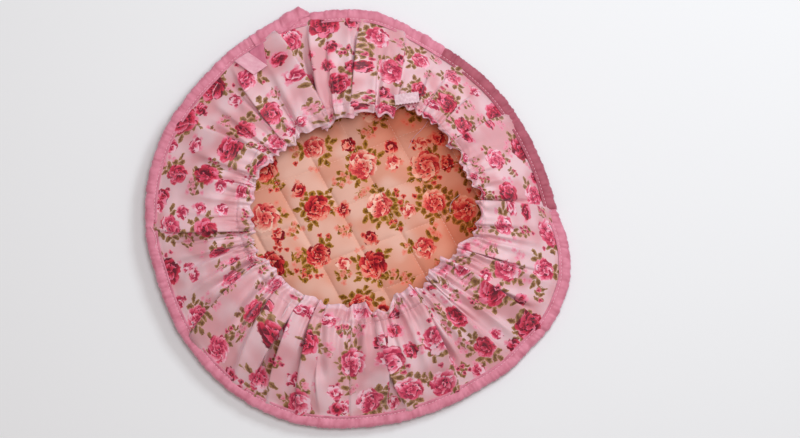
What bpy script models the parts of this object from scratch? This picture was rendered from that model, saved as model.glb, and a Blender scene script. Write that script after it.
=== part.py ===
"""Elasticated quilted lid cosy, lying on its back with its gathered mouth up.

A quilted pad carries a gathered skirt around its edge. Both edges are held in a
folded bias binding. An elastic draws the skirt in to the mouth, and a narrow frill
stands past it. Metres, +Z up, origin under the middle, on the surface it lies on.
"""
import bisect
import math

import bmesh
import bpy
from mathutils import Vector
from mathutils.bvhtree import BVHTree

MM = 0.001
GAP = 0.3 * MM                      # air left between two pieces that lie together

# ---- cloth, binding and trims --------------------------------------------------
SKIRT_THICK = 1.0 * MM
BINDING_WIDTH = 11.0 * MM           # seen on each face
BINDING_CLOTH = 1.2 * MM            # bias strip turned under, two layers
PAD_THICK = 7.5 * MM                # between two quilting lines
PAD_EDGE_THICK = 3.0 * MM           # pressed flat inside the binding
PAD_EDGE_BAND = 24.0 * MM           # over which the wadding thins out
FLOOR_RADIUS = 112.0 * MM           # the pad lies flat inside this radius
PAD_BORDER = 5.0 * MM               # plain ring between the quilting and the binding
EDGE_DEPTH = 4.2 * MM               # cut edges stop this far inside the outline

# The slot inside the binding holds the pad edge, a gap and the skirt edge.
SLOT_HALF = (GAP + PAD_EDGE_THICK + GAP + SKIRT_THICK + GAP) / 2
PAD_EDGE_LOW = -SLOT_HALF + GAP
PAD_EDGE_TOP = PAD_EDGE_LOW + PAD_EDGE_THICK
SKIRT_EDGE_MID = SLOT_HALF - GAP - SKIRT_THICK / 2

# ---- quilting: two sets of straight stitch lines -------------------------------
# name: (direction of the lines in degrees, spacing, distance of one line from centre)
QUILT_LONG = (-61.0, 37.1 * MM, 26.1 * MM)
QUILT_CROSS = (21.0, 39.7 * MM, 15.1 * MM)
QUILT_SHOULDERS = (0.0, 0.22, 0.78)  # grid lines in one pitch: stitch line, two shoulders
STITCH_DEPTH = 1.0 * MM              # each face is drawn in this far at a stitch line
QUILT_CELLS = 12 * len(QUILT_SHOULDERS)

# ---- outline of the binding: (angle in degrees, radius in mm) ------------------
RIM = (
    (0, 175.5), (5, 171.4), (15, 167.9), (25, 165.7), (33, 165.2), (44, 166.0),
    (56, 166.8), (63.5, 168.4), (73, 172.7), (80, 178.1), (86, 182.0), (95, 184.0),
    (103.5, 185.4), (112, 186.6), (120, 185.8), (127, 185.6), (136, 183.9),
    (147, 185.0), (161, 186.8), (172, 187.0), (185, 186.0), (197, 183.6),
    (215, 185.5), (235, 187.3), (250, 186.6), (262, 183.8), (275, 180.7),
    (288, 180.0), (303, 181.2), (316, 186.0), (323, 187.4), (329, 190.6),
    (336, 192.2), (343, 191.8), (348, 188.6), (352, 185.0), (357, 179.5),
)
# The overlapped end of the binding stands out here: (degrees past, extra radius in mm)
BINDING_END_ANGLE = 106.0
BINDING_END = ((-2.5, 0.0), (0.0, 6.7), (6.0, 1.6), (14.0, 0.0))

# Height of the middle of the binding: (angle, mm). The left side is held up.
RIM_HEIGHT = ((0, 5.4), (40, 4.4), (75, 6.4), (110, 10.6), (150, 14.6), (185, 14.2),
              (225, 11.0), (265, 8.0), (310, 6.6), (345, 6.2))

# The elastic: (angle, radius in mm, height in mm)
ELASTIC = (
    (0, 108, 33.5), (10, 110, 33.5), (20, 108, 33.0), (45, 106.5, 33.0),
    (64, 110, 32.5), (75, 101.5, 32.5), (90, 101, 32.0), (110, 96.5, 32.5),
    (130, 98, 33.5), (147, 104.5, 34.0), (172, 106, 34.0), (200, 102, 33.0),
    (212, 99, 32.0), (232, 95.5, 30.5), (258, 92, 29.5), (275, 90.5, 29.0),
    (300, 91, 30.0), (322, 96.5, 31.5), (340, 104.5, 32.5), (352, 108.5, 33.0),
)
# Free edge of the frill: (angle, radius in mm)
FRILL = (
    (0, 103.5), (5, 102.5), (10, 108), (15, 104.5), (20, 100), (25, 99), (30, 103.5),
    (35, 98.5), (41, 102.5), (50, 105), (60, 103.5), (66, 105.5), (72, 100),
    (76, 92), (85, 93), (92, 89), (100, 87), (110, 82), (115, 84.5), (125, 88.5),
    (130, 84.5), (138, 89), (147, 91), (155, 94.5), (165, 93), (175, 93), (200, 92.5),
    (209, 86.5), (215, 84.5), (232, 82.5), (245, 80), (255, 78), (265, 75), (270, 72.5),
    (279, 84), (290, 84), (294, 73), (300, 74.5), (305, 74), (315, 82.5), (322, 76),
    (328, 78.5), (335, 83.5), (341, 91), (347, 90.5), (351, 100), (356, 100.5),
)

# Rise of the skirt from the binding: (share of the way to the elastic, share of rise)
RISE = ((0.0, 0.0), (0.1, 0.20), (0.25, 0.44), (0.45, 0.72), (0.7, 0.97), (1.0, 1.0))
FRILL_RISE = 2.5 * MM

# Folds of the skirt: (angle at the binding, angle at the elastic, strength)
FOLDS = (
    (2.5, 4.0, 1.3), (8.0, 10.0, 0.9), (14.5, 16.5, 0.8), (21.0, 22.0, 0.6),
    (27.5, 28.0, 0.6), (34.5, 34.5, 1.3), (40.5, 40.5, 0.7), (46.5, 46.5, 1.0),
    (51.5, 51.5, 0.6), (56.5, 56.0, 1.2), (64.0, 61.0, 0.9), (68.5, 66.0, 0.5),
    (72.5, 70.5, 0.5), (77.0, 75.0, 1.3), (81.0, 79.2, 0.9), (85.5, 83.5, 0.9),
    (89.0, 88.5, 0.7), (93.5, 94.5, 1.2), (98.5, 99.5, 0.8), (103.5, 105.0, 1.3),
    (109.5, 109.5, 0.6), (115.0, 114.5, 1.4), (120.0, 121.0, 0.8), (125.0, 126.5, 0.6),
    (129.5, 131.0, 1.1), (136.0, 135.5, 0.9), (141.0, 140.5, 0.9), (146.0, 145.5, 0.8),
    (152.3, 151.0, 1.2), (158.0, 157.0, 0.8), (163.0, 162.0, 0.6), (167.5, 167.0, 1.0),
    (172.5, 172.5, 0.6), (177.5, 177.5, 0.7), (182.5, 182.0, 0.9), (187.5, 186.5, 0.7),
    (192.5, 191.0, 0.9), (199.0, 195.5, 0.9), (205.0, 200.5, 1.0), (210.0, 205.0, 0.8),
    (215.5, 209.5, 1.4), (222.0, 214.5, 0.7), (227.0, 219.0, 0.8), (232.5, 223.5, 1.2),
    (236.0, 229.0, 0.8), (239.5, 234.8, 1.2), (243.5, 240.3, 1.2), (248.0, 245.0, 0.7),
    (252.5, 249.5, 0.9), (259.0, 255.5, 1.1), (263.0, 260.5, 0.6), (267.0, 266.0, 0.8),
    (272.0, 272.0, 0.6), (277.0, 278.5, 1.1), (285.0, 284.5, 1.2), (289.5, 290.0, 0.9),
    (294.0, 295.0, 0.8), (300.0, 301.0, 1.2), (305.0, 306.0, 0.9), (310.0, 310.8, 0.8),
    (316.0, 315.8, 1.1), (319.8, 319.3, 0.6), (323.2, 323.0, 1.1), (326.2, 326.8, 0.6),
    (329.3, 330.6, 1.3), (334.5, 334.5, 0.9), (338.0, 338.2, 0.6), (341.2, 341.8, 1.0),
    (344.4, 345.5, 0.9), (348.0, 349.5, 0.8), (352.0, 353.5, 0.8), (357.3, 358.5, 0.8),
)
FOLD_STEPS = (0.0, 0.25, 0.5, 0.75)  # columns of the skirt in one fold
SKIRT_ROWS = (0.0, 0.1, 0.25, 0.45, 0.7, 1.0)  # from the binding to the elastic
GATHER_LIMIT = 1.75                  # fullness past which the cloth only flares

# ---- hanging loop and the strip of elastic that shows --------------------------
LOOP_ANGLE = 123.6                   # where its fold lies
LOOP_HALF_WIDTH = 7.2 * MM
LOOP_THICK = 1.0 * MM
# (along the binding, in from the binding, layer), all in mm but the layer
LOOP_ROWS = ((7.3, 0.4, 1), (3.6, 10.0, 1), (0.4, 18.6, 1), (0.0, 19.9, 0.5),
             (-0.4, 18.6, 0), (-4.2, 10.0, 0), (-8.5, 0.4, 0))
LOOP_FOOT = 1.0 * MM                 # the two places where its slope is read off the cloth
LOOP_CREST = 19.0 * MM
LAYER_STEP = LOOP_THICK + 0.6 * MM
STRIP_ANGLE = 68.2
STRIP_RADIUS = 111.5 * MM
STRIP_LENGTH = 21.0 * MM
STRIP_WIDTH = 9.0 * MM
STRIP_THICK = 1.0 * MM
STRIP_TURN = 29.0                    # degrees off the line of the elastic

COLLECTION = "lid_cosy"


def srgb(hex_code):
    """Linear colour of an sRGB hex code."""
    values = [int(hex_code[i:i + 2], 16) / 255 for i in (1, 3, 5)]
    linear = [v / 12.92 if v <= 0.04045 else ((v + 0.055) / 1.055) ** 2.4 for v in values]
    return (*linear, 1.0)


def make_material(name, hex_code, roughness):
    material = bpy.data.materials.new(name)
    material.use_nodes = True
    shader = material.node_tree.nodes["Principled BSDF"]
    shader.inputs["Base Color"].default_value = srgb(hex_code)
    shader.inputs["Roughness"].default_value = roughness
    shader.inputs["Metallic"].default_value = 0.0
    return material


def add_object(name, bm, material, collection):
    mesh = bpy.data.meshes.new(name)
    bm.to_mesh(mesh)
    bm.free()
    mesh.shade_smooth()
    mesh.materials.append(material)
    obj = bpy.data.objects.new(name, mesh)
    collection.objects.link(obj)
    return obj


def solidify(obj, thickness, even=True):
    modifier = obj.modifiers.new("Cloth thickness", "SOLIDIFY")
    modifier.thickness = thickness
    modifier.offset = 0.0
    modifier.use_even_offset = even


def around(table, angle, column=1):
    """Smooth closed curve through a table's rows, without overshoot between them."""
    angle = angle % 360.0
    last = len(table) - 1
    right = bisect.bisect_right([row[0] for row in table], angle)

    def row(index):
        turn, place = divmod(index, len(table))
        return table[place][0] + 360.0 * turn, table[place][column]

    x = [row(right - 2 + k)[0] for k in range(4)]
    y = [row(right - 2 + k)[1] for k in range(4)]
    slope = [(y[k + 1] - y[k]) / (x[k + 1] - x[k]) for k in range(3)]

    def tangent(before, after):
        return 0.0 if before * after <= 0 else 2 * before * after / (before + after)

    span = x[2] - x[1]
    t = (angle - x[1]) / span
    start = tangent(slope[0], slope[1]) * span
    end = tangent(slope[1], slope[2]) * span
    return ((2 * t ** 3 - 3 * t ** 2 + 1) * y[1] + (t ** 3 - 2 * t ** 2 + t) * start
            + (3 * t ** 2 - 2 * t ** 3) * y[2] + (t ** 3 - t ** 2) * end)


def along(table, place):
    """Straight-line reading of an open two-column table."""
    for (x0, y0), (x1, y1) in zip(table, table[1:]):
        if place <= x1:
            return y0 + (y1 - y0) * (place - x0) / (x1 - x0)
    return table[-1][1]


def rim_radius(angle):
    return around(RIM, angle) * MM


def binding_radius(angle):
    """Outline of the binding with its overlapped end."""
    past = (angle - BINDING_END_ANGLE + 180.0) % 360.0 - 180.0
    extra = along(BINDING_END, past) if past >= BINDING_END[0][0] else 0.0
    return rim_radius(angle) + extra * MM


def rim_height(angle):
    return around(RIM_HEIGHT, angle) * MM


def polar(radius, angle, height=0.0):
    turn = math.radians(angle)
    return Vector((radius * math.cos(turn), radius * math.sin(turn), height))


def outline_centre():
    """Middle of the binding's own box, which is put over the origin."""
    points = [polar(binding_radius(a), a) for a in station_angles()]
    xs = [p.x for p in points]
    ys = [p.y for p in points]
    return Vector(((min(xs) + max(xs)) / 2, (min(ys) + max(ys)) / 2, 0.0))


def station_angles(widest=4.0):
    """Angles of the binding's sections: each row of the outline, and even steps between."""
    marks = sorted([row[0] for row in RIM] + [BINDING_END_ANGLE + row[0] for row in BINDING_END])
    angles = []
    for start, end in zip(marks, marks[1:] + [360.0]):
        steps = max(1, math.ceil((end - start) / widest))
        angles += [start + (end - start) * k / steps for k in range(steps)]
    return angles


def closed_strip(columns, rows):
    """Grid of points joined end to end into a ring; columns is a list of rows of points."""
    bm = bmesh.new()
    bmesh.ops.create_grid(bm, x_segments=len(columns), y_segments=rows - 1, size=1.0)
    bm.verts.ensure_lookup_table()
    wide = len(columns) + 1
    for index, vert in enumerate(bm.verts):
        row, column = divmod(index, wide)
        vert.co = columns[column % len(columns)][row]
    bmesh.ops.remove_doubles(bm, verts=bm.verts, dist=0.01 * MM)
    bmesh.ops.recalc_face_normals(bm, faces=bm.faces)
    return bm


def build_binding(centre, material, collection):
    """Bias strip folded over the edge: a section open to the inside, swept round."""
    middle = SLOT_HALF + BINDING_CLOTH / 2
    turn_centre = middle + BINDING_CLOTH / 2
    columns = []
    for angle in station_angles():
        outer = binding_radius(angle)
        base = rim_height(angle)
        section = [(rim_radius(angle) - BINDING_WIDTH, middle)]
        for turn in (90, 45, 0, -45, -90):
            reach = middle * math.cos(math.radians(turn))
            section.append((outer - turn_centre + reach, middle * math.sin(math.radians(turn))))
        section.append((rim_radius(angle) - BINDING_WIDTH, -middle))
        columns.append([polar(r, angle, base + z) - centre for r, z in section])
    obj = add_object("rim_binding", closed_strip(columns, 7), material, collection)
    solidify(obj, BINDING_CLOTH)
    return obj


def fold_angle(index, column):
    turn, place = divmod(index, len(FOLDS))
    return FOLDS[place][column] + 360.0 * turn


def fold_size(index, column):
    """Height of one crest per metre of radius, from the spacing of its neighbours."""
    spacing = math.radians(fold_angle(index + 1, column) - fold_angle(index - 1, column)) / 2
    return FOLDS[index % len(FOLDS)][2] * spacing / (2 * math.pi)


def fullness_height(fullness):
    """Slope of the folds that takes up a given fullness of cloth."""
    spare = max(min(fullness, GATHER_LIMIT) - 1.0, 0.0)
    return 2.3 * math.sqrt(spare) * (1 + 0.1 * spare)


def skirt_point(place, reach):
    """Point of the skirt: place counts folds, reach is 0 at the binding, 1 at the elastic
    and 2 at the frill's edge."""
    index = int(math.floor(place))
    phase = place - index
    rim_angle = fold_angle(index, 0) * (1 - phase) + fold_angle(index + 1, 0) * phase
    ring_angle = fold_angle(index, 1) * (1 - phase) + fold_angle(index + 1, 1) * phase
    inner = min(reach, 1.0)
    angle = rim_angle + (ring_angle - rim_angle) * inner
    lip = rim_radius(rim_angle) - BINDING_WIDTH - GAP
    ring = around(ELASTIC, ring_angle) * MM
    foot = rim_height(rim_angle) + SKIRT_EDGE_MID
    rise = around(ELASTIC, ring_angle, 2) * MM - foot
    radius = lip + (ring - lip) * inner
    height = foot + rise * along(RISE, inner)
    if reach > 1.0:
        radius = ring + (around(FRILL, ring_angle) * MM - ring) * (reach - 1.0)
        height += FRILL_RISE * (reach - 1.0)
    size = sum(fold_size(index + k, 1) * share for k, share in ((0, 1 - phase), (1, phase)))
    height += size * radius * fullness_height(lip / radius) * math.cos(2 * math.pi * phase)
    return polar(radius, angle, height)


def skirt_places():
    return [fold + step for fold in range(len(FOLDS)) for step in FOLD_STEPS]


def build_skirt(centre, material, collection):
    columns = []
    for place in skirt_places():
        start = skirt_point(place, 0.0)
        angle = math.degrees(math.atan2(start.y, start.x))
        edge = polar(rim_radius(angle) - EDGE_DEPTH, angle, start.z)
        column = [edge] + [skirt_point(place, reach) for reach in SKIRT_ROWS]
        column.append(skirt_point(place, 2.0))
        columns.append([point - centre for point in column])
    obj = add_object("gathered_skirt", closed_strip(columns, len(columns[0])), material, collection)
    solidify(obj, SKIRT_THICK, even=False)  # an even offset spikes at the sharp gathers
    return obj


def smooth_step(value):
    value = min(max(value, 0.0), 1.0)
    return value * value * (3 - 2 * value)


def pad_faces(point):
    """Height of the underside and the top of the pad at a point in plan."""
    angle = math.degrees(math.atan2(point.y, point.x))
    rim = rim_radius(angle)
    radius = point.to_2d().length
    low_edge = rim_height(angle) + PAD_EDGE_LOW
    band = rim - BINDING_WIDTH
    low = low_edge * smooth_step((radius - FLOOR_RADIUS) / (band - FLOOR_RADIUS))
    puff = smooth_step((band - radius) / PAD_EDGE_BAND)
    thick = PAD_EDGE_THICK + (PAD_THICK - PAD_EDGE_THICK) * puff
    return low, low + thick, puff


def quilt_grid_point(row, column):
    """Crossing of one grid line of each set, in plan."""
    crossing = []
    for lines, count in ((QUILT_LONG, row), (QUILT_CROSS, column)):
        direction, pitch, first = lines
        whole, part = divmod(count, len(QUILT_SHOULDERS))
        distance = first + (whole + QUILT_SHOULDERS[part]) * pitch
        turn = math.radians(direction + 90.0)
        crossing.append((Vector((math.cos(turn), math.sin(turn))), distance))
    (normal_a, dist_a), (normal_b, dist_b) = crossing
    scale = normal_a.x * normal_b.y - normal_a.y * normal_b.x
    x = (dist_a * normal_b.y - dist_b * normal_a.y) / scale
    y = (normal_a.x * dist_b - normal_b.x * dist_a) / scale
    return Vector((x, y, 0.0))


def build_pad(centre, material, collection):
    """Filled disc, drawn in along the stitch lines and pressed thin at its edge."""
    bm = bmesh.new()
    bmesh.ops.create_grid(bm, x_segments=QUILT_CELLS, y_segments=QUILT_CELLS, size=1.0)
    bm.verts.ensure_lookup_table()
    on_stitch = bm.verts.layers.int.new("on_stitch")
    for index, vert in enumerate(bm.verts):
        row, column = [count - QUILT_CELLS // 2 for count in divmod(index, QUILT_CELLS + 1)]
        vert.co = quilt_grid_point(row, column)
        steps = len(QUILT_SHOULDERS)
        vert[on_stitch] = int(row % steps == 0 or column % steps == 0)

    def edge(vert, inset):
        angle = math.degrees(math.atan2(vert.co.y, vert.co.x))
        return polar(rim_radius(angle) - inset, angle)

    inner_inset = BINDING_WIDTH + PAD_BORDER
    outside = [v for v in bm.verts if v.co.length > edge(v, inner_inset - PAD_BORDER / 2).length]
    bmesh.ops.delete(bm, geom=outside, context="VERTS")
    for inset in (inner_inset, BINDING_WIDTH, EDGE_DEPTH):
        border = [e for e in bm.edges if e.is_boundary]
        if inset != inner_inset:
            grown = bmesh.ops.extrude_edge_only(bm, edges=border)["geom"]
            border = [e for e in grown if isinstance(e, bmesh.types.BMEdge) and e.is_boundary]
        for vert in {v for e in border for v in e.verts}:
            vert.co = edge(vert, inset)
            vert[on_stitch] = 0
    grown = bmesh.ops.extrude_face_region(bm, geom=list(bm.faces))["geom"]
    top = {v for v in grown if isinstance(v, bmesh.types.BMVert)}
    for vert in bm.verts:
        low, high, puff = pad_faces(vert.co)
        draw_in = STITCH_DEPTH * vert[on_stitch] * puff
        vert.co.z = high - draw_in if vert in top else low + draw_in
    bmesh.ops.translate(bm, verts=bm.verts, vec=-centre)
    bmesh.ops.recalc_face_normals(bm, faces=bm.faces)
    return add_object("quilted_pad", bm, material, collection)


def surface_height(tree, point):
    """Height of the cloth's upper face under a point in plan."""
    above = Vector((point.x, point.y, 1.0))
    hit = tree.ray_cast(above, Vector((0, 0, -1)))[0]
    return hit.z


def lift_over(tree, corners, clearance):
    """Lift that carries a flat four-cornered patch just clear of the cloth below it."""
    steps = 24
    lift = -1.0
    for row in range(steps + 1):
        for column in range(steps + 1):
            left = corners[0].lerp(corners[2], row / steps)
            right = corners[1].lerp(corners[3], row / steps)
            point = left.lerp(right, column / steps)
            lift = max(lift, surface_height(tree, point) - point.z)
    return lift + clearance


def build_loop(tree, centre, material, collection):
    """Ribbon folded back over itself, both ends caught under the binding."""
    start = polar(rim_radius(LOOP_ANGLE) - BINDING_WIDTH, LOOP_ANGLE) - centre
    inward = -polar(1.0, LOOP_ANGLE)
    side = Vector((0, 0, 1)).cross(-inward)
    foot = surface_height(tree, start + inward * LOOP_FOOT)
    crest = surface_height(tree, start + inward * LOOP_CREST)
    slope = (crest - foot) / (LOOP_CREST - LOOP_FOOT)
    across = (-1.0, -0.5, 0.0, 0.5, 1.0)
    rows = []
    for beside, inset, layer in LOOP_ROWS:
        height = foot + slope * (inset * MM - LOOP_FOOT) + layer * LAYER_STEP
        spot = start + inward * inset * MM + side * beside * MM
        row = [spot + side * LOOP_HALF_WIDTH * share for share in across]
        rows.append([Vector((p.x, p.y, height)) for p in row])
    patches = [(a[0], a[-1], b[0], b[-1]) for a, b in zip(rows, rows[1:])]
    lift = max(lift_over(tree, patch, GAP + LOOP_THICK / 2) for patch in patches)
    bm = bmesh.new()
    bmesh.ops.create_grid(bm, x_segments=len(across) - 1, y_segments=len(rows) - 1, size=1.0)
    bm.verts.ensure_lookup_table()
    for index, vert in enumerate(bm.verts):
        row, column = divmod(index, len(across))
        vert.co = rows[row][column] + Vector((0, 0, lift))
    bmesh.ops.recalc_face_normals(bm, faces=bm.faces)
    obj = add_object("hanging_loop", bm, material, collection)
    solidify(obj, LOOP_THICK)
    return obj


def build_strip(tree, centre, material, collection):
    """Flat elastic that shows where the casing is left open."""
    middle = polar(STRIP_RADIUS, STRIP_ANGLE) - centre
    turn = math.radians(STRIP_ANGLE + 90.0 + STRIP_TURN)
    length = Vector((math.cos(turn), math.sin(turn), 0)) * STRIP_LENGTH
    width = Vector((-length.y, length.x, 0)).normalized() * STRIP_WIDTH
    bm = bmesh.new()
    bmesh.ops.create_grid(bm, x_segments=6, y_segments=3, size=0.5)
    places = ((-0.5, -0.5), (0.5, -0.5), (-0.5, 0.5), (0.5, 0.5))
    corners = [middle + length * x + width * y for x, y in places]
    lift = lift_over(tree, corners, GAP + STRIP_THICK / 2)
    for vert in bm.verts:
        vert.co = middle + length * vert.co.x + width * vert.co.y + Vector((0, 0, lift))
    bmesh.ops.recalc_face_normals(bm, faces=bm.faces)
    obj = add_object("elastic_strip", bm, material, collection)
    solidify(obj, STRIP_THICK)
    return obj


def main():
    for obj in list(bpy.data.objects):
        bpy.data.objects.remove(obj, do_unlink=True)
    collection = bpy.data.collections.new(COLLECTION)
    bpy.context.scene.collection.children.link(collection)
    centre = outline_centre()
    build_pad(centre, make_material("peach printed cotton", "#E2A892", 0.85), collection)
    skirt = build_skirt(centre, make_material("pink printed cotton", "#E6B9C3", 0.8), collection)
    build_binding(centre, make_material("pink bias binding", "#DC8CA4", 0.75), collection)
    bpy.context.view_layer.update()
    tree = BVHTree.FromObject(skirt, bpy.context.evaluated_depsgraph_get())
    build_loop(tree, centre, make_material("pink satin ribbon", "#E9A8BE", 0.45), collection)
    build_strip(tree, centre, make_material("white elastic", "#F1E6EA", 0.8), collection)


main()
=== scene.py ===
"""Looks of an elasticated quilted lid cosy that lies on its back, mouth up.

The pad, the gathered skirt, the binding, the ribbon loop and the bit of elastic are
each made again here over their plain solids, with the print, the weave, the puckers
and the sewing that they have. Metres, +Z up, the same frame as the solids.
"""
import bisect
import math

import bmesh
import bpy
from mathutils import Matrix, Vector, noise
from mathutils.bvhtree import BVHTree


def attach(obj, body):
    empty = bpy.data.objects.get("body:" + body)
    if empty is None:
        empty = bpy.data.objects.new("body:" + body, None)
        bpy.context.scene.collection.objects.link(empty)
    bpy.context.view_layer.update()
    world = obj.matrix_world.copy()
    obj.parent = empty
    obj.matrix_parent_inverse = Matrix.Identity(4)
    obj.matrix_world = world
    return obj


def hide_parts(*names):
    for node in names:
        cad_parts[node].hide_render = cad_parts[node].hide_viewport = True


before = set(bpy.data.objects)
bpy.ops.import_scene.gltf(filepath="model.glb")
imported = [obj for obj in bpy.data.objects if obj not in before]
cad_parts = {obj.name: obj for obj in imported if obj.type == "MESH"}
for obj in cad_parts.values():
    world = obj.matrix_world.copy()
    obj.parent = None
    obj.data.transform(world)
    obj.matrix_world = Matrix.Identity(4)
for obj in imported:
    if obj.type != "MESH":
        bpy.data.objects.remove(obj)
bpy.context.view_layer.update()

MM = 0.001
GAP = 0.3 * MM

# ==== sizes, as on the solids ======================================================
SKIRT_THICK = 1.0 * MM
BINDING_WIDTH = 11.0 * MM
BINDING_CLOTH = 1.2 * MM
PAD_THICK = 7.5 * MM
PAD_EDGE_THICK = 3.0 * MM
PAD_EDGE_BAND = 24.0 * MM
FLOOR_RADIUS = 112.0 * MM
PAD_BORDER = 5.0 * MM
EDGE_DEPTH = 4.2 * MM
SLOT_HALF = (GAP + PAD_EDGE_THICK + GAP + SKIRT_THICK + GAP) / 2
PAD_EDGE_LOW = -SLOT_HALF + GAP
SKIRT_EDGE_MID = SLOT_HALF - GAP - SKIRT_THICK / 2

# Quilting lines: (direction in degrees, spacing, distance of one line from the centre)
QUILT_LONG = (-61.0, 37.1 * MM, 26.1 * MM)
QUILT_CROSS = (21.0, 39.7 * MM, 15.1 * MM)
STITCH_DEPTH = 2.9 * MM
PILLOW_SHARE = (1.0, 0.45)           # the first set of lines is pulled tighter

# Outline of the binding: (angle in degrees, radius in mm)
RIM = (
    (0, 175.5), (5, 171.4), (15, 167.9), (25, 165.7), (33, 165.2), (44, 166.0),
    (56, 166.8), (63.5, 168.4), (73, 172.7), (80, 178.1), (86, 182.0), (95, 184.0),
    (103.5, 185.4), (112, 186.6), (120, 185.8), (127, 185.6), (136, 183.9),
    (147, 185.0), (161, 186.8), (172, 187.0), (185, 186.0), (197, 183.6),
    (215, 185.5), (235, 187.3), (250, 186.6), (262, 183.8), (275, 180.7),
    (288, 180.0), (303, 181.2), (316, 186.0), (323, 187.4), (329, 190.6),
    (336, 192.2), (343, 191.8), (348, 188.6), (352, 185.0), (357, 179.5),
)
BINDING_END_ANGLE = 106.0
BINDING_END = ((-2.5, 0.0), (0.0, 6.7), (6.0, 1.6), (14.0, 0.0))
RIM_HEIGHT = ((0, 5.4), (40, 4.4), (75, 6.4), (110, 10.6), (150, 14.6), (185, 14.2),
              (225, 11.0), (265, 8.0), (310, 6.6), (345, 6.2))
# The elastic: (angle, radius in mm, height in mm)
ELASTIC = (
    (0, 108, 33.5), (10, 110, 33.5), (20, 108, 33.0), (45, 106.5, 33.0),
    (64, 110, 32.5), (75, 101.5, 32.5), (90, 101, 32.0), (110, 96.5, 32.5),
    (130, 98, 33.5), (147, 104.5, 34.0), (172, 106, 34.0), (200, 102, 33.0),
    (212, 99, 32.0), (232, 95.5, 30.5), (258, 92, 29.5), (275, 90.5, 29.0),
    (300, 91, 30.0), (322, 96.5, 31.5), (340, 104.5, 32.5), (352, 108.5, 33.0),
)
# Free edge of the frill: (angle, radius in mm)
FRILL = (
    (0, 103.5), (5, 102.5), (10, 108), (15, 104.5), (20, 100), (25, 99), (30, 103.5),
    (35, 98.5), (41, 102.5), (50, 105), (60, 103.5), (66, 105.5), (72, 100),
    (76, 92), (85, 93), (92, 89), (100, 87), (110, 82), (115, 84.5), (125, 88.5),
    (130, 84.5), (138, 89), (147, 91), (155, 94.5), (165, 93), (175, 93), (200, 92.5),
    (209, 86.5), (215, 84.5), (232, 82.5), (245, 80), (255, 78), (265, 75), (270, 72.5),
    (279, 84), (290, 84), (294, 73), (300, 74.5), (305, 74), (315, 82.5), (322, 76),
    (328, 78.5), (335, 83.5), (341, 91), (347, 90.5), (351, 100), (356, 100.5),
)
# Rise of the skirt from the binding: (share of the way to the elastic, share of rise)
RISE = ((0.0, 0.0), (0.1, 0.20), (0.25, 0.44), (0.45, 0.72), (0.7, 0.97), (1.0, 1.0))
# Folds: (angle at the binding, angle at the elastic, strength, lean). The lean says which
# way a fold has flopped over: that side of it is steep.
FOLDS = (
    (2.5, 4.0, 1.3, 0.7), (8.0, 10.0, 0.9, 0.0), (14.5, 16.5, 0.8, -0.1), (21.0, 22.0, 0.6, 0.1),
    (27.5, 28.0, 0.6, 0.1), (34.5, 34.5, 1.3, 0.8), (40.5, 40.5, 0.7, -0.4),
    (46.5, 46.5, 1.0, 0.6), (51.5, 51.5, 0.6, -0.2), (56.5, 56.0, 1.2, 0.6),
    (64.0, 61.0, 0.9, 0.4), (68.5, 66.0, 0.5, -0.0), (72.5, 70.5, 0.5, 0.3),
    (77.0, 75.0, 1.3, -0.7), (81.0, 79.2, 0.9, 0.1), (85.5, 83.5, 0.9, -0.5),
    (89.0, 88.5, 1.2, 0.9), (93.5, 94.5, 1.2, -0.3), (98.5, 99.5, 1.0, 0.6),
    (103.5, 105.0, 1.3, 0.7), (109.5, 109.5, 0.6, 0.2), (115.0, 114.5, 1.4, -0.9),
    (120.0, 121.0, 0.8, 0.2), (125.0, 126.5, 0.6, 0.1), (129.5, 131.0, 1.1, 0.7),
    (136.0, 135.5, 0.9, -0.4), (141.0, 140.5, 0.9, 0.3), (146.0, 145.5, 0.8, -0.0),
    (152.3, 151.0, 1.2, -0.8), (158.0, 157.0, 0.8, 0.3), (163.0, 162.0, 0.6, 0.2),
    (167.5, 167.0, 1.1, -0.6), (172.5, 172.5, 0.6, -0.1), (177.5, 177.5, 0.7, 0.3),
    (182.5, 182.0, 1.2, 0.8), (187.5, 186.5, 0.7, 0.4), (192.5, 191.0, 0.9, 0.3),
    (199.0, 195.5, 0.9, -0.4), (205.0, 200.5, 1.0, -0.3), (210.0, 205.0, 0.8, -0.3),
    (215.5, 209.5, 1.4, -0.7), (222.0, 214.5, 0.7, -0.1), (227.0, 219.0, 0.8, 0.1),
    (232.5, 223.5, 1.2, -0.5), (236.0, 229.0, 1.2, 0.9), (239.5, 234.8, 1.2, -0.6),
    (243.5, 240.3, 1.2, -0.9), (248.0, 245.0, 0.7, 0.1), (252.5, 249.5, 1.2, -0.8),
    (259.0, 255.5, 1.1, -0.9), (263.0, 260.5, 0.6, 0.2), (267.0, 266.0, 0.5, 0.0),
    (272.0, 272.0, 0.6, 0.3), (277.0, 278.5, 1.1, 0.9), (285.0, 284.5, 1.2, -0.9),
    (289.5, 290.0, 0.9, -0.3), (294.0, 295.0, 0.8, 0.3), (300.0, 301.0, 1.2, 0.9),
    (305.0, 306.0, 0.9, 0.4), (310.0, 310.8, 0.8, 0.1), (316.0, 315.8, 1.1, 0.4),
    (319.8, 319.3, 0.6, -0.3), (323.2, 323.0, 1.1, 0.3), (326.2, 326.8, 0.6, 0.1),
    (329.3, 330.6, 1.3, 0.9), (334.5, 334.5, 0.9, -0.4), (338.0, 338.2, 0.6, 0.3),
    (341.2, 341.8, 1.0, 0.4), (344.4, 345.5, 0.9, -0.6), (348.0, 349.5, 0.8, 0.3),
    (352.0, 353.5, 0.8, -0.1), (357.3, 358.5, 0.8, -0.3),
)
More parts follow.
